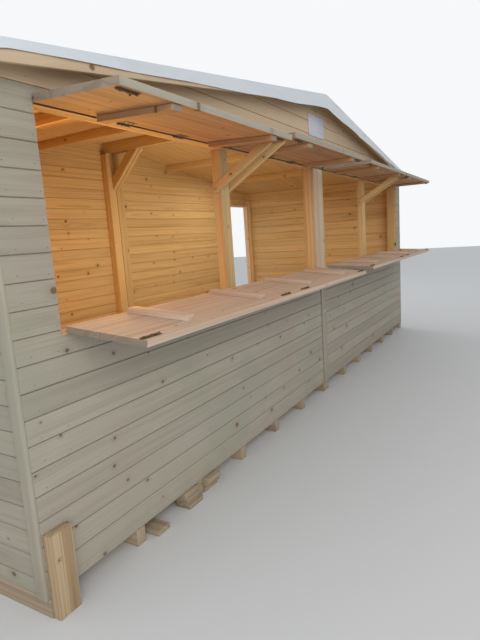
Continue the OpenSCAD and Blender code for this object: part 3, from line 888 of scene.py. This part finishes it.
class STALL_OT_side_boards(StallOperator):
    """Boards the two side walls"""
    bl_idname = "stall.side_boards"
    bl_label = "Side boards"

    def make(self, context, chance):
        for name, side in SIDES.items():
            low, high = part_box(name + "_wall")
            joints = joints_up_to(context.scene.stall_boards.side_joint, high.z)
            panel = board_panel(name + "_boards", high.y - low.y, WALL_T, joints, chance)
            cut_to_roof(place(panel, moved(high.x, low.y, 0) @ turned(90, "Z")), side)
            middle, inwards = (low.x + high.x) / 2, 0.003
            dress(panel, "stall", ("weathered_spruce", "warm_spruce"),
                  (name + "_wall",), chance,
                  lambda mid, normal: (middle - mid.x) * side > inwards)


class STALL_OT_back_boards(StallOperator):
    """Boards the back wall round the staff doorway"""
    bl_idname = "stall.back_boards"
    bl_label = "Back boards"

    def make(self, context, chance):
        piece = gable_wall("back_boards", BACK_Y - WALL_T,
                           (None, (DOOR_LOW.x, DOOR_HIGH.x, 0, DOOR_HIGH.z)), chance)
        dress(piece, "stall", ("weathered_spruce", "warm_spruce"),
              ("back_wall_left", "back_wall_right", "back_wall_over_door", "back_wall_corner"),
              chance, lambda mid, normal: mid.y < BACK_Y - LINING)


class STALL_OT_floor_deck(StallOperator):
    """Lays the floor boards, through the staff doorway too"""
    bl_idname = "stall.floor_deck"
    bl_label = "Floor deck"

    def make(self, context, chance):
        board_w = context.scene.stall_boards.pitch * 1.15
        low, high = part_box("floor_boards")
        inner_y = BACK_Y - WALL_T
        panels = []
        for x0, x1, y0, y1 in ((low.x, -IN_X, low.y, inner_y), (IN_X, high.x, low.y, inner_y),
                               (DOOR_LOW.x, DOOR_HIGH.x, inner_y, BACK_Y)):
            joints = even_joints(y1 - y0, max(1, round((y1 - y0) / board_w)))
            panel = board_panel("deck", x1 - x0, high.z - low.z, joints, chance, fine=True)
            panels.append(place(panel, moved(x0, y0, high.z) @ turned(-90, "X")))
        dress(join("floor_deck", panels), "stall", ("frame_spruce",),
              ("floor_boards",), chance)


class STALL_OT_roof_deck(StallOperator):
    """Lays the roof boards down both slopes"""
    bl_idname = "stall.roof_deck"
    bl_label = "Roof deck"

    def make(self, context, chance):
        low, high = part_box("roof_boards")
        thick = (high.z - under_roof(IN_X)) * math.cos(PITCH_ANGLE)
        deep, spare = high.y - low.y, 0.05
        joints = even_joints(deep, round(deep / context.scene.stall_boards.pitch))
        run = (high.x + spare) / math.cos(PITCH_ANGLE)
        slopes = []
        for side in (-1, 1):
            panel = board_panel("slope", run, thick, joints, chance)
            start = moved(0, 0, thick) @ turned(-90, "X")
            if side < 0:
                start = moved(-run, 0, 0) @ start
            lean = Matrix.Rotation(PITCH_ANGLE * side, 4, "Y")
            place(panel, moved(0, low.y, under_roof(0)) @ lean @ start)
            cut_by_plane(panel, (side * IN_X, 0, 0), (-side, 0, 0))
            cut_by_plane(panel, (side * high.x, 0, 0), (side, 0, 0))
            slopes.append(panel)
        dress(join("roof_deck", slopes), "stall", ("frame_spruce", "warm_spruce"),
              ("roof_boards",), chance,
              lambda mid, normal: normal.z < -0.5 or FACE_Y < mid.y < BACK_Y)


class STALL_OT_flaps(StallOperator):
    """Makes the four raised flaps of boards and battens"""
    bl_idname = "stall.flaps"
    bl_label = "Flaps"

    def make(self, context, chance):
        batten_w, batten_t, batten_end, batten_start = 0.060, 0.026, 0.010, 0.025
        half_apart, shift = 0.435, 0.060
        grey_from = HINGE_OFF + FLAP_T * 0.12

        def finish_of(mid, normal):
            """Grey boards above, warm ones darkened with painted shade below, and end grain at the
            ends.
            """
            if abs(normal.x) > 0.9 and mid.z > HINGE_OFF or normal.y < -0.9 and mid.z < HINGE_OFF:
                return 2
            return mid.z < grey_from

        for node in ("flap_" + flap for flap in FLAPS):
            low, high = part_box(node)
            parts = [leaf_panel("leaf", low.x, high.x, FLAP_LEN, FLAP_T, chance)]
            middle = (low.x + high.x) / 2
            if node.endswith("outer"):
                middle -= math.copysign(shift, middle)
            for x in (middle - half_apart, middle + half_apart):
                batten = block("batten",
                               (x - batten_w / 2, batten_end - FLAP_LEN, HINGE_OFF - batten_t),
                               (x + batten_w / 2, -batten_start, HINGE_OFF))
                parts.append(ease_edges(batten, context.scene.stall_boards.ease))
            piece = join(node + "_boards", parts)
            dress(piece, node, ("weathered_spruce", "flap_spruce", "end_grain"),
                  (node,), chance, finish_of)
            hang(piece, node)


class STALL_OT_counters(StallOperator):
    """Makes the boards of the two counters and their battens"""
    bl_idname = "stall.counters"
    bl_label = "Counters"

    def make(self, context, chance):
        top = HINGE_OFF + COUNTER_T * 0.85

        def finish_of(mid, normal):
            """Pinkish boards above and in front, grey below, and end grain at the ends."""
            if abs(normal.x) > 0.9:
                return 2
            return mid.z > top or normal.z > 0.5 or normal.y < -0.9

        for side in SIDES:
            node, battens = "counter_" + side, "counter_battens_" + side
            low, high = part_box(node)
            leaf = leaf_panel(node + "_boards", low.x, high.x, COUNTER_LEN, COUNTER_T, chance)
            dress(leaf, node,
                  ("weathered_spruce", "counter_spruce", "end_grain"), (node,), chance, finish_of)
            hang(leaf, node)
            plane_timber(battens, node, "counter_spruce", chance)


class STALL_OT_staff_door(StallOperator):
    """Makes the staff door of upright boards and three ledges"""
    bl_idname = "stall.staff_door"
    bl_label = "Staff door"

    def make(self, context, chance):
        boards = context.scene.stall_boards
        low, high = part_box("staff_door")
        thick, ledge_t, ledge_w, ledge_end = 0.022, 0.022, 0.095, 0.022
        face = low.y + thick
        leaf = board_panel("leaf", high.z - low.z, thick,
                           even_joints(high.x - low.x, boards.door_boards), chance)
        place(leaf, moved(low.x, face, low.z) @ turned(-90, "Y") @ turned(180, "X"))
        parts = [leaf]
        for z in (low.z + ledge_w, (low.z + high.z - ledge_w) / 2, high.z - 2 * ledge_w):
            ledge = block("ledge", (low.x + ledge_end, face, z),
                          (high.x - ledge_end, face + ledge_t, z + ledge_w))
            parts.append(ease_edges(ledge, boards.ease))
        dress(join("staff_door_boards", parts), "stall", ("warm_spruce",),
              ("staff_door",), chance)


PLANED = (
    ("frame_timber", "frame_spruce", ("sills", "door_frame")),
    # The rakes take the sheltered wood, painted lighter against the shade under the roof
    ("frame_timber", "sheltered_spruce", ("rake_boards",)),
    ("frame_timber", "warm_spruce", ("corner_posts", "jamb_posts", "centre_posts", "mid_posts",
                                     "headers", "eave_beams", "ridge_beams", "purlins",
                                     "knee_braces")),
    ("wall_boards", "weathered_spruce", ("corner_trims", "seam_boards")),
    # The centre facings take the sheltered wood, painted lighter against the shade under the roof
    ("wall_boards", "sheltered_spruce", ("centre_facings",)),
    ("floor_timber", "joist_softwood", ("floor_joists",)),
    ("fresh_plank", "joist_softwood", ("packing_planks",)),
    ("fresh_plank", "fresh_softwood", ("corner_plank",)),
)


class STALL_OT_timbers(StallOperator):
    """Eases the edges of the posts, beams, trims, joists and planks and lays their grain"""
    bl_idname = "stall.timbers"
    bl_label = "Timbers"

    def make(self, context, chance):
        for slot, wood, nodes in PLANED:
            for node in nodes:
                plane_timber(node, "stall", wood, chance)


class STALL_OT_struts(StallOperator):
    """Eases the struts that stand under the raised flaps"""
    bl_idname = "stall.struts"
    bl_label = "Struts"

    def make(self, context, chance):
        for strut in ("strut_" + flap for flap in FLAPS):
            plane_timber(strut, strut, "warm_spruce", chance)


class STALL_OT_nails(StallOperator):
    """Drives nails through the wall boards into the posts behind them"""
    bl_idname = "stall.nails"
    bl_label = "Nails"

    def make(self, context, chance):
        boards = context.scene.stall_boards
        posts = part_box("corner_posts")
        half_post, clear = 0.035, 0.01
        share_up, uneven_up, uneven_along, below_top = 0.24, 0.005, 0.008, 0.02
        centre_x = (IN_X + POST_X) / 2
        jamb_x = (PIER_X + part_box("jamb_posts")[1].x) / 2
        corner_x = posts[1].x - half_post
        spots = []

        def column(x, y, normal, first, skip=(0, 0)):
            """One nail in each board of one line of nails, but for the heights to skip."""
            top = under_roof(x)
            heights = joints_up_to(first, top)
            along = Vector((abs(normal[1]), abs(normal[0]), 0))
            for low, high in zip(heights, heights[1:]):
                z = low + (high - low) * share_up + chance.uniform(-uneven_up, uneven_up)
                if z > top - below_top or skip[0] < z < skip[1]:
                    continue
                slide = along * chance.uniform(-uneven_along, uneven_along)
                spots.append(facing(Vector((x, y, z)) + slide, normal))

        for side in (-1, 1):
            for x in (centre_x, jamb_x, corner_x):
                skip = (SILL_Z - clear, HEAD_Z + clear) if x == centre_x else (0, 0)
                column(side * x, FACE_Y, (0, -1, 0), boards.first_joint, skip)
                if not (side > 0 and x == jamb_x):
                    column(side * x, BACK_Y, (0, 1, 0), boards.first_joint)
            for y in (posts[0].y + half_post, posts[1].y - half_post):
                column(side * HALF_W, y, (side, 0, 0), boards.side_joint)
        piece = heads("wall_nails", context.scene.stall_fittings.nail_d, spots, slot=False)
        dress(piece, "stall", ("dull_nails",))


class STALL_OT_hinges(StallOperator):
    """Adds the moving plates of the hinges, with their screws, and finishes the fixed ones"""
    bl_idname = "stall.hinges"
    bl_label = "Hinges"

    def make(self, context, chance):
        fittings = context.scene.stall_fittings
        wide, plate, thick = fittings.hinge_w, fittings.leaf_plate, fittings.plate_t
        knuckle, screw_row, fixed_row = 0.001, plate * 0.66, 0.026
        face = HINGE_OFF - thick
        leaves = [("flap_" + flap, 2, fittings.flap_hinge_inset, 1) for flap in FLAPS]
        leaves += [("counter_" + side, 4, fittings.counter_hinge_inset, -1) for side in SIDES]
        fixed_screws = []
        for node, hinges, inset, up in leaves:
            low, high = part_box(node)
            pitch = (high.x - low.x - 2 * inset) / (hinges - 1)
            places = [low.x + inset + i * pitch for i in range(hinges)]
            screw_xs = [x + wide * share for x in places for share in (-0.36, 0.0, 0.36)]
            model = block("plate", (-wide / 2, -plate, face), (wide / 2, -knuckle, HINGE_OFF))
            ease_edges(model, thick * 0.3, 1)
            plates = many("plates", model, [moved(x, 0, 0) for x in places])
            screws = heads("screws", fittings.screw_d,
                           [facing((x, -screw_row, face), (0, 0, -1)) for x in screw_xs])
            piece = join(node + "_hinge_plates", [plates, screws])
            dress(piece, node, ("dull_zinc",))
            hang(piece, node)
            z = JOINTS[node + "_hinge"]["pos_m"][2] + up * fixed_row
            fixed_screws += [facing((x, FACE_Y - thick, z), (0, -1, 0)) for x in screw_xs]
        screws = heads("hinge_screws", fittings.screw_d, fixed_screws)
        dress(screws, "stall", ("dull_zinc",))
        for node in ("flap_hinges", "counter_hinges"):
            frame["nodes"][node].data.materials.clear()
            frame["nodes"][node].data.materials.append(finish("dull_zinc"))


def barrel_bolt():
    """A barrel bolt along X on the X-Y plane: a base, three straps, a rod and its knob."""
    fittings = bpy.context.scene.stall_fittings
    long, wide, radius = fittings.bolt_l, fittings.bolt_w, fittings.rod_d / 2
    base_t, strap_t, half_strap, wing_low, wing_top = 0.0016, 0.0016, 0.006, 0.0014, 0.0032
    rod_z = base_t + radius
    base = block("base", (-long / 2, -wide / 2, 0), (long / 2, wide / 2, base_t))
    slide = rod("slide", (-long * 0.56, 0, rod_z), (long * 0.92, 0, 0), radius, 10)
    parts = [ease_edges(base, METAL_EDGE, 1), ease_edges(slide, 0.0008, 1, 60)]
    for middle in (long * -0.36, long * 0.02, long * 0.38):
        strap = rod("strap", (middle - half_strap, 0, rod_z), (2 * half_strap, 0, 0),
                    radius + strap_t)
        start_edit(strap)
        select(strap, "faces", lambda face: abs(face.normal.x) > 0.9)
        bpy.ops.mesh.inset(thickness=0.0012, depth=0)
        end_edit()
        cut_by_plane(strap, (0, 0, 0.0002), (0, 0, -1))
        wings = block("wings", (middle - half_strap, -wide * 0.42, wing_low),
                      (middle + half_strap, wide * 0.42, wing_top))
        parts += [strap, ease_edges(wings, METAL_EDGE, 1)]
    knob = rod("knob", (long * 0.20, 0, rod_z), (0, -0.017, 0.004), 0.0032, 10)
    parts.append(ease_edges(knob, 0.001, 1, 60))
    model = join("barrel_bolt", parts)
    screws = heads("screws", fittings.screw_d * 0.7,
                   [facing((x * long, y * wide, base_t), (0, 0, 1))
                    for x in (-0.46, -0.17, 0.21, 0.46) for y in (-0.34, 0.34)])
    return join("barrel_bolt", [model, screws])


class STALL_OT_bolts(StallOperator):
    """Screws a barrel bolt on each free corner of the flaps, and the like on the counters"""
    bl_idname = "stall.bolts"
    bl_label = "Barrel bolts"

    def make(self, context, chance):
        fittings = context.scene.stall_fittings
        post_end, outer_end = fittings.bolt_post, fittings.bolt_end

        def screw_on(node, places, long, z, turn=Matrix.Identity(4)):
            """A bolt at each place along X, near the free edge of a leaf."""
            spots = [moved(x, fittings.bolt_edge - long, z) @ turn for x in places]
            piece = many(node + "_bolts", barrel_bolt(), spots)
            dress(piece, node, ("dark_iron",), smooth=True)
            hang(piece, node)

        per_side = {side: [] for side in SIDES}
        for flap in FLAPS:
            side, part = flap.split("_")
            low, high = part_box("flap_" + flap)
            inner, outer = sorted((low.x, high.x), key=abs)
            ends = (post_end, outer_end) if part == "outer" else (outer_end, post_end)
            places = [inner + SIDES[side] * ends[0], outer - SIDES[side] * ends[1]]
            per_side[side] += places
            screw_on("flap_" + flap, places, FLAP_LEN, HINGE_OFF, turned(180, "X"))
        for side, places in per_side.items():
            screw_on("counter_" + side, places, COUNTER_LEN, HINGE_OFF + COUNTER_T)


class STALL_OT_strut_bolts(StallOperator):
    """Makes the bolts that the struts turn on, with six-sided heads and nuts"""
    bl_idname = "stall.strut_bolts"
    bl_label = "Strut bolts"

    def make(self, context, chance):
        low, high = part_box("strut_bolts")
        head_t, shank_r, head_r = 0.006, 0.005, 0.011
        y, z = (low.y + high.y) / 2, (low.z + high.z) / 2
        middle = (PIER_X + POST_X) / 2
        reach = high.x - middle
        parts = []
        for x in (-middle, middle):
            parts.append(rod("shank", (x - reach + head_t, y, z), (2 * (reach - head_t), 0, 0),
                             shank_r, 16))
            for start in (x - reach, x + reach - head_t):
                head = rod("head", (start, y, z), (head_t, 0, 0), head_r, 6)
                parts.append(ease_edges(head, 0.0008, 1, 40))
        dress(join("strut_bolts_steel", parts), "stall", ("zinc_steel",),
              ("strut_bolts",), smooth=True)


class STALL_OT_plates(StallOperator):
    """Adds the bare plate on the gable, the tie across the seam and the keepers of the bolts"""
    bl_idname = "stall.plates"
    bl_label = "Plates"

    def make(self, context, chance):
        screw_d = context.scene.stall_fittings.screw_d
        dress(planed_copy("gable_plate", "gable_plate_bare"), "stall",
              ("plain_plate",), ("gable_plate",), smooth=True)
        low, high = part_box("gable_plate")
        inset = 0.016
        screws = heads("gable_plate_screws", screw_d,
                       [facing((x, low.y, z), (0, -1, 0)) for x in (low.x + inset, high.x - inset)
                        for z in (low.z + inset, high.z - inset)])
        dress(screws, "stall", ("zinc_steel",))

        keeper_y, keeper_z = FACE_Y + 0.003, 1.219
        keeper_w, keeper_h, keeper_t = 0.022, 0.044, 0.0015
        keepers = []
        for side in (-1, 1):
            x = side * PIER_X
            plate = block("keeper", (x - keeper_t, keeper_y, keeper_z),
                          (x + keeper_t, keeper_y + keeper_w, keeper_z + keeper_h))
            spots = [facing((x - side * keeper_t, keeper_y + keeper_w / 2, keeper_z + z),
                            (-side, 0, 0)) for z in (0.008, keeper_h - 0.008)]
            keepers += [ease_edges(plate, METAL_EDGE, 1), heads("screws", screw_d * 0.7, spots)]
        dress(join("bolt_keepers", keepers), "stall", ("dark_iron",))

        tie_z, tie_w, tie_h, tie_t = 0.760, 0.070, 0.026, 0.003
        seam_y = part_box("seam_boards")[0].y
        tie = block("tie", (-tie_w / 2, seam_y - tie_t, tie_z - tie_h / 2),
                    (tie_w / 2, seam_y, tie_z + tie_h / 2))
        ease_edges(tie, 0.001, 1)
        spots = [facing((x, seam_y - tie_t, tie_z), (0, -1, 0)) for x in (-0.024, 0.024)]
        piece = join("seam_tie", [tie, heads("screws", screw_d * 1.3, spots)])
        dress(piece, "stall", ("zinc_steel",))


def sheet_surface():
    """The roof sheet's outer side as grids of points: the top, and its four hems."""
    sheet = bpy.context.scene.stall_sheet
    low, high = SHEET_LOW, SHEET_HIGH
    crease_h, ridge_h, ridge_w, calm_edge, calm_corner = 0.0011, 0.0022, 0.035, 0.15, 0.12
    xs = np.linspace(-high.x, high.x, 2 * round(high.x / sheet.cell) + 1)
    ys = np.linspace(low.y, high.y, round((high.y - low.y) / sheet.cell) + 1)
    depth = np.linspace(0, 1, 8)

    def rise(x, y):
        """The height of the sheet, a little round at the ridge and faintly creased."""
        crease = (np.sin(x * 9.1 + 1.3 * np.sin(y * 4.0)) * np.sin(y * 6.3 + x * 1.7)) * crease_h
        to_edge = np.minimum(high.x - abs(x), np.minimum(y - low.y, high.y - y))
        near_ridge = np.exp(-(x / ridge_w) ** 2)
        sag = (crease - crease_h) * np.minimum(1, to_edge / calm_edge) * (1 - near_ridge)
        return high.z - abs(x) * SLOPE - ridge_h * near_ridge + sag

    def wave(along, depth, seed):
        """How far a hem stands out, none at its top and most at its edge."""
        swing = (1.95 + np.sin(along * 11.0 + seed) + 0.6 * np.sin(along * 23.7 + 2.1 * seed)
                 + 0.35 * np.sin(along * 41.0 + 0.7 * seed))
        return sheet.ripple * swing * depth ** 1.5

    gx, gy = np.meshgrid(xs, ys, indexing="ij")
    grids = [np.stack([gx, gy, rise(gx, gy)], -1)]
    corner = np.clip((high.x - abs(xs)) / calm_corner, 0, 1)
    drop = sheet.hem_eave + (sheet.hem_ridge - sheet.hem_eave) * (1 - abs(xs) / high.x)
    drop = SIDE_HEM + (drop - SIDE_HEM) * corner ** 0.5
    drop = drop * (1 + 0.035 * np.sin(xs * 7.0) * corner)
    for y, out, seed in ((low.y, -1, 0.4), (high.y, 1, 2.9)):
        hx, hd = np.meshgrid(xs, depth, indexing="ij")
        hy = y + out * wave(hx, hd, seed) * corner[:, None]
        hz = rise(hx, np.full_like(hx, y)) - hd * drop[:, None]
        grids.append(np.stack([hx, hy, hz], -1)[:, ::out])
    for x, out, seed in ((-high.x, -1, 5.1), (high.x, 1, 1.7)):
        hd, hy = np.meshgrid(depth, ys, indexing="ij")
        fade = np.clip(np.minimum(hy - low.y, high.y - hy) / calm_corner, 0, 1)
        hx = x + out * wave(hy, hd, seed) * fade
        hz = rise(np.full_like(hy, x), hy) - hd * SIDE_HEM
        grids.append(np.stack([hx, hy, hz], -1)[::out])
    return grids


class STALL_OT_roof_sheet(StallOperator):
    """Stretches the coated cloth over the roof, with hems that hang over rakes and eaves"""
    bl_idname = "stall.roof_sheet"
    bl_label = "Roof sheet"

    def make(self, context, chance):
        sheet = context.scene.stall_sheet
        points, faces = [], []
        for grid in sheet_surface():
            number = np.arange(grid.size // 3).reshape(grid.shape[:2]) + len(points)
            corners = (number[:-1, :-1], number[1:, :-1], number[1:, 1:], number[:-1, 1:])
            faces += np.stack(corners, -1).reshape(-1, 4).tolist()
            points += grid.reshape(-1, 3).tolist()
        piece = made_of("roof_tarpaulin", points, faces)
        start_edit(piece, "VERT")
        bpy.ops.mesh.select_all(action="SELECT")
        bpy.ops.mesh.remove_doubles(threshold=0.0004)
        bpy.ops.mesh.normals_make_consistent(inside=False)
        end_edit()
        solid = piece.modifiers.new("thickness", "SOLIDIFY")
        solid.thickness = sheet.thickness
        solid.offset = -1
        pick_only(piece)
        bpy.ops.object.modifier_apply(modifier=solid.name)
        dress(piece, "stall", ("coated_cloth",), ("roof_sheet",), smooth=True)


# Each lamp: its place, where it points (None for a bare bulb), its size, the power that it
# takes from the settings, its share of it, and its tint
LAMPS = {
    "main_lamp": ((-7.2, -6.4, 3.7), (0, 0, 1.2), 6.0, "key", 1.0, (1.0, 0.985, 0.96)),
    "back_lamp": ((6.6, 7.0, 3.7), (0, 0, 1.2), 6.0, "key", 0.5, (1.0, 0.985, 0.96)),
    "inner_left": ((-1.9, 0.30, 2.10), (-1.9, 0.8, 0), 1.4, "inner", 0.9, (1.0, 0.72, 0.40)),
    "inner_right": ((1.7, 0.30, 2.10), (1.7, 0.8, 0), 1.4, "inner", 0.8, (1.0, 0.88, 0.70)),
    "warm_side": ((-1.55, 0.05, 1.35), (-3.2, -0.35, 1.45), 0.9, "warm", 1.0, (1.0, 0.48, 0.10)),
    "warm_middle": ((-2.35, 0.25, 1.35), None, 0.25, "warm", 0.13, (1.0, 0.50, 0.12)),
    "inner_back": ((0.0, -0.1, 1.30), (0.5, 1.42, 2.45), 0.6, "inner", 0.6, (1.0, 0.86, 0.62)),
}


class STALL_OT_stage(StallOperator):
    """Sets the camera, the lamps, the world and the floor"""
    bl_idname = "stall.stage"
    bl_label = "Stage"

    def make(self, context, chance):
        stage = context.scene.stall_stage
        self.make_camera(context, stage)
        self.make_sky(context, stage)
        self.make_floor(context, stage)
        for name, (spot, target, size, source, share, tint) in LAMPS.items():
            self.make_lamp(name, spot, target, size, getattr(stage, source) * share, tint)
        context.scene.view_settings.view_transform = "Standard"

    def make_camera(self, context, stage):
        right = Vector((0.49557, -0.86598, -0.06695))
        up = Vector((0.17360, 0.02322, 0.98450))
        back = Vector((-0.8510, -0.4995, 0.1618))
        data = bpy.data.cameras.new("camera")
        data.lens = stage.lens
        data.sensor_width = 36
        data.sensor_fit = "AUTO"
        data.clip_end = 200
        camera = bpy.data.objects.new("camera", data)
        context.scene.collection.objects.link(camera)
        turn = Matrix((right, up, back)).transposed().to_quaternion().to_matrix().to_4x4()
        spot = moved(stage.camera_x, FACE_Y - stage.camera_out, stage.camera_z)
        camera.matrix_world = spot @ turn
        context.scene.camera = camera

    def make_lamp(self, name, spot, target, size, power, tint):
        """A soft lamp that the camera doesn't see."""
        data = bpy.data.lights.new(name, "AREA" if target else "POINT")
        lamp = bpy.data.objects.new(name, data)
        if target:
            data.shape = "DISK"
            data.size = size
            aim = Vector(target) - Vector(spot)
            lamp.rotation_euler = aim.to_track_quat("-Z", "Y").to_euler()
        else:
            data.shadow_soft_size = size
        data.energy = power
        data.color = tint
        bpy.context.scene.collection.objects.link(lamp)
        lamp.location = spot
        lamp.visible_camera = False

    def make_sky(self, context, stage):
        """Even light on the stall, and white where the camera, metal or glass sees the sky."""
        context.scene.world = bpy.data.worlds.new("sky")
        s = Nodes(context.scene.world)
        path = s.add("ShaderNodeLightPath").outputs
        seen = path["Is Camera Ray"]
        for ray in ("Is Glossy Ray", "Is Transmission Ray"):
            seen = s.math("MAXIMUM", seen, path[ray])
        light = s.add("ShaderNodeBackground", {0: (0.93, 0.965, 1.0, 1), 1: stage.sky})
        shown = s.add("ShaderNodeBackground", {0: (0.93, 0.94, 0.95, 1), 1: 1.0})
        mix = s.add("ShaderNodeMixShader", {0: seen, 1: light.outputs[0], 2: shown.outputs[0]})
        s.add("ShaderNodeOutputWorld", {0: mix.outputs[0]})

    def make_floor(self, context, stage):
        clear_selection()
        bpy.ops.mesh.primitive_plane_add(size=60, location=(0, 0, 0))
        floor = context.active_object
        floor.name = "floor"
        s = Shader("pale_floor")
        speck = s.times(s.noise(s.object_place(), 3.0, 3.0), 0.12)
        grey = stage.floor[:]
        s.set(Base_Color=s.mix(speck, grey, [0.85 * c for c in grey]), Roughness=0.85)
        floor.data.materials.append(s.material)


class STALL_PT_panel(bpy.types.Panel):
    """Lists the steps and sizes of the stall"""
    bl_label = "Market stall"
    bl_idname = "STALL_PT_panel"
    bl_space_type = "VIEW_3D"
    bl_region_type = "UI"
    bl_category = "Stall"

    def draw(self, context):
        for operator in OPERATORS:
            self.layout.operator(operator.bl_idname)
        for name in GROUPS:
            box = self.layout.box()
            group = getattr(context.scene, name)
            for key in group.__annotations__:
                box.prop(group, key)


OPERATORS = (
    STALL_OT_stage, STALL_OT_front_boards, STALL_OT_side_boards, STALL_OT_back_boards,
    STALL_OT_floor_deck, STALL_OT_roof_deck, STALL_OT_flaps, STALL_OT_counters,
    STALL_OT_staff_door, STALL_OT_timbers, STALL_OT_struts, STALL_OT_nails, STALL_OT_hinges,
    STALL_OT_bolts, STALL_OT_strut_bolts, STALL_OT_plates, STALL_OT_roof_sheet,
)
GROUPS = {
    "stall_boards": StallBoards, "stall_finishes": StallFinishes, "stall_fittings": StallFittings,
    "stall_sheet": StallSheet, "stall_stage": StallStage,
}


def register():
    for group in GROUPS.values():
        bpy.utils.register_class(group)
    for name, group in GROUPS.items():
        setattr(bpy.types.Scene, name, PointerProperty(type=group))
    for operator in OPERATORS:
        bpy.utils.register_class(operator)
    bpy.utils.register_class(STALL_PT_panel)


def unregister():
    bpy.utils.unregister_class(STALL_PT_panel)
    for operator in reversed(OPERATORS):
        bpy.utils.unregister_class(operator)
    for name, group in GROUPS.items():
        delattr(bpy.types.Scene, name)
        bpy.utils.unregister_class(group)


def main():
    """Makes every piece in order."""
    register()
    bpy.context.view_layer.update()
    bpy.ops.stall.stage()
    bpy.ops.stall.front_boards()
    bpy.ops.stall.side_boards()
    bpy.ops.stall.back_boards()
    bpy.ops.stall.floor_deck()
    bpy.ops.stall.roof_deck()
    bpy.ops.stall.flaps()
    bpy.ops.stall.counters()
    bpy.ops.stall.staff_door()
    bpy.ops.stall.timbers()
    bpy.ops.stall.struts()
    bpy.ops.stall.nails()
    bpy.ops.stall.hinges()
    bpy.ops.stall.bolts()
    bpy.ops.stall.strut_bolts()
    bpy.ops.stall.plates()
    bpy.ops.stall.roof_sheet()


if __name__ == "__main__":
    main()
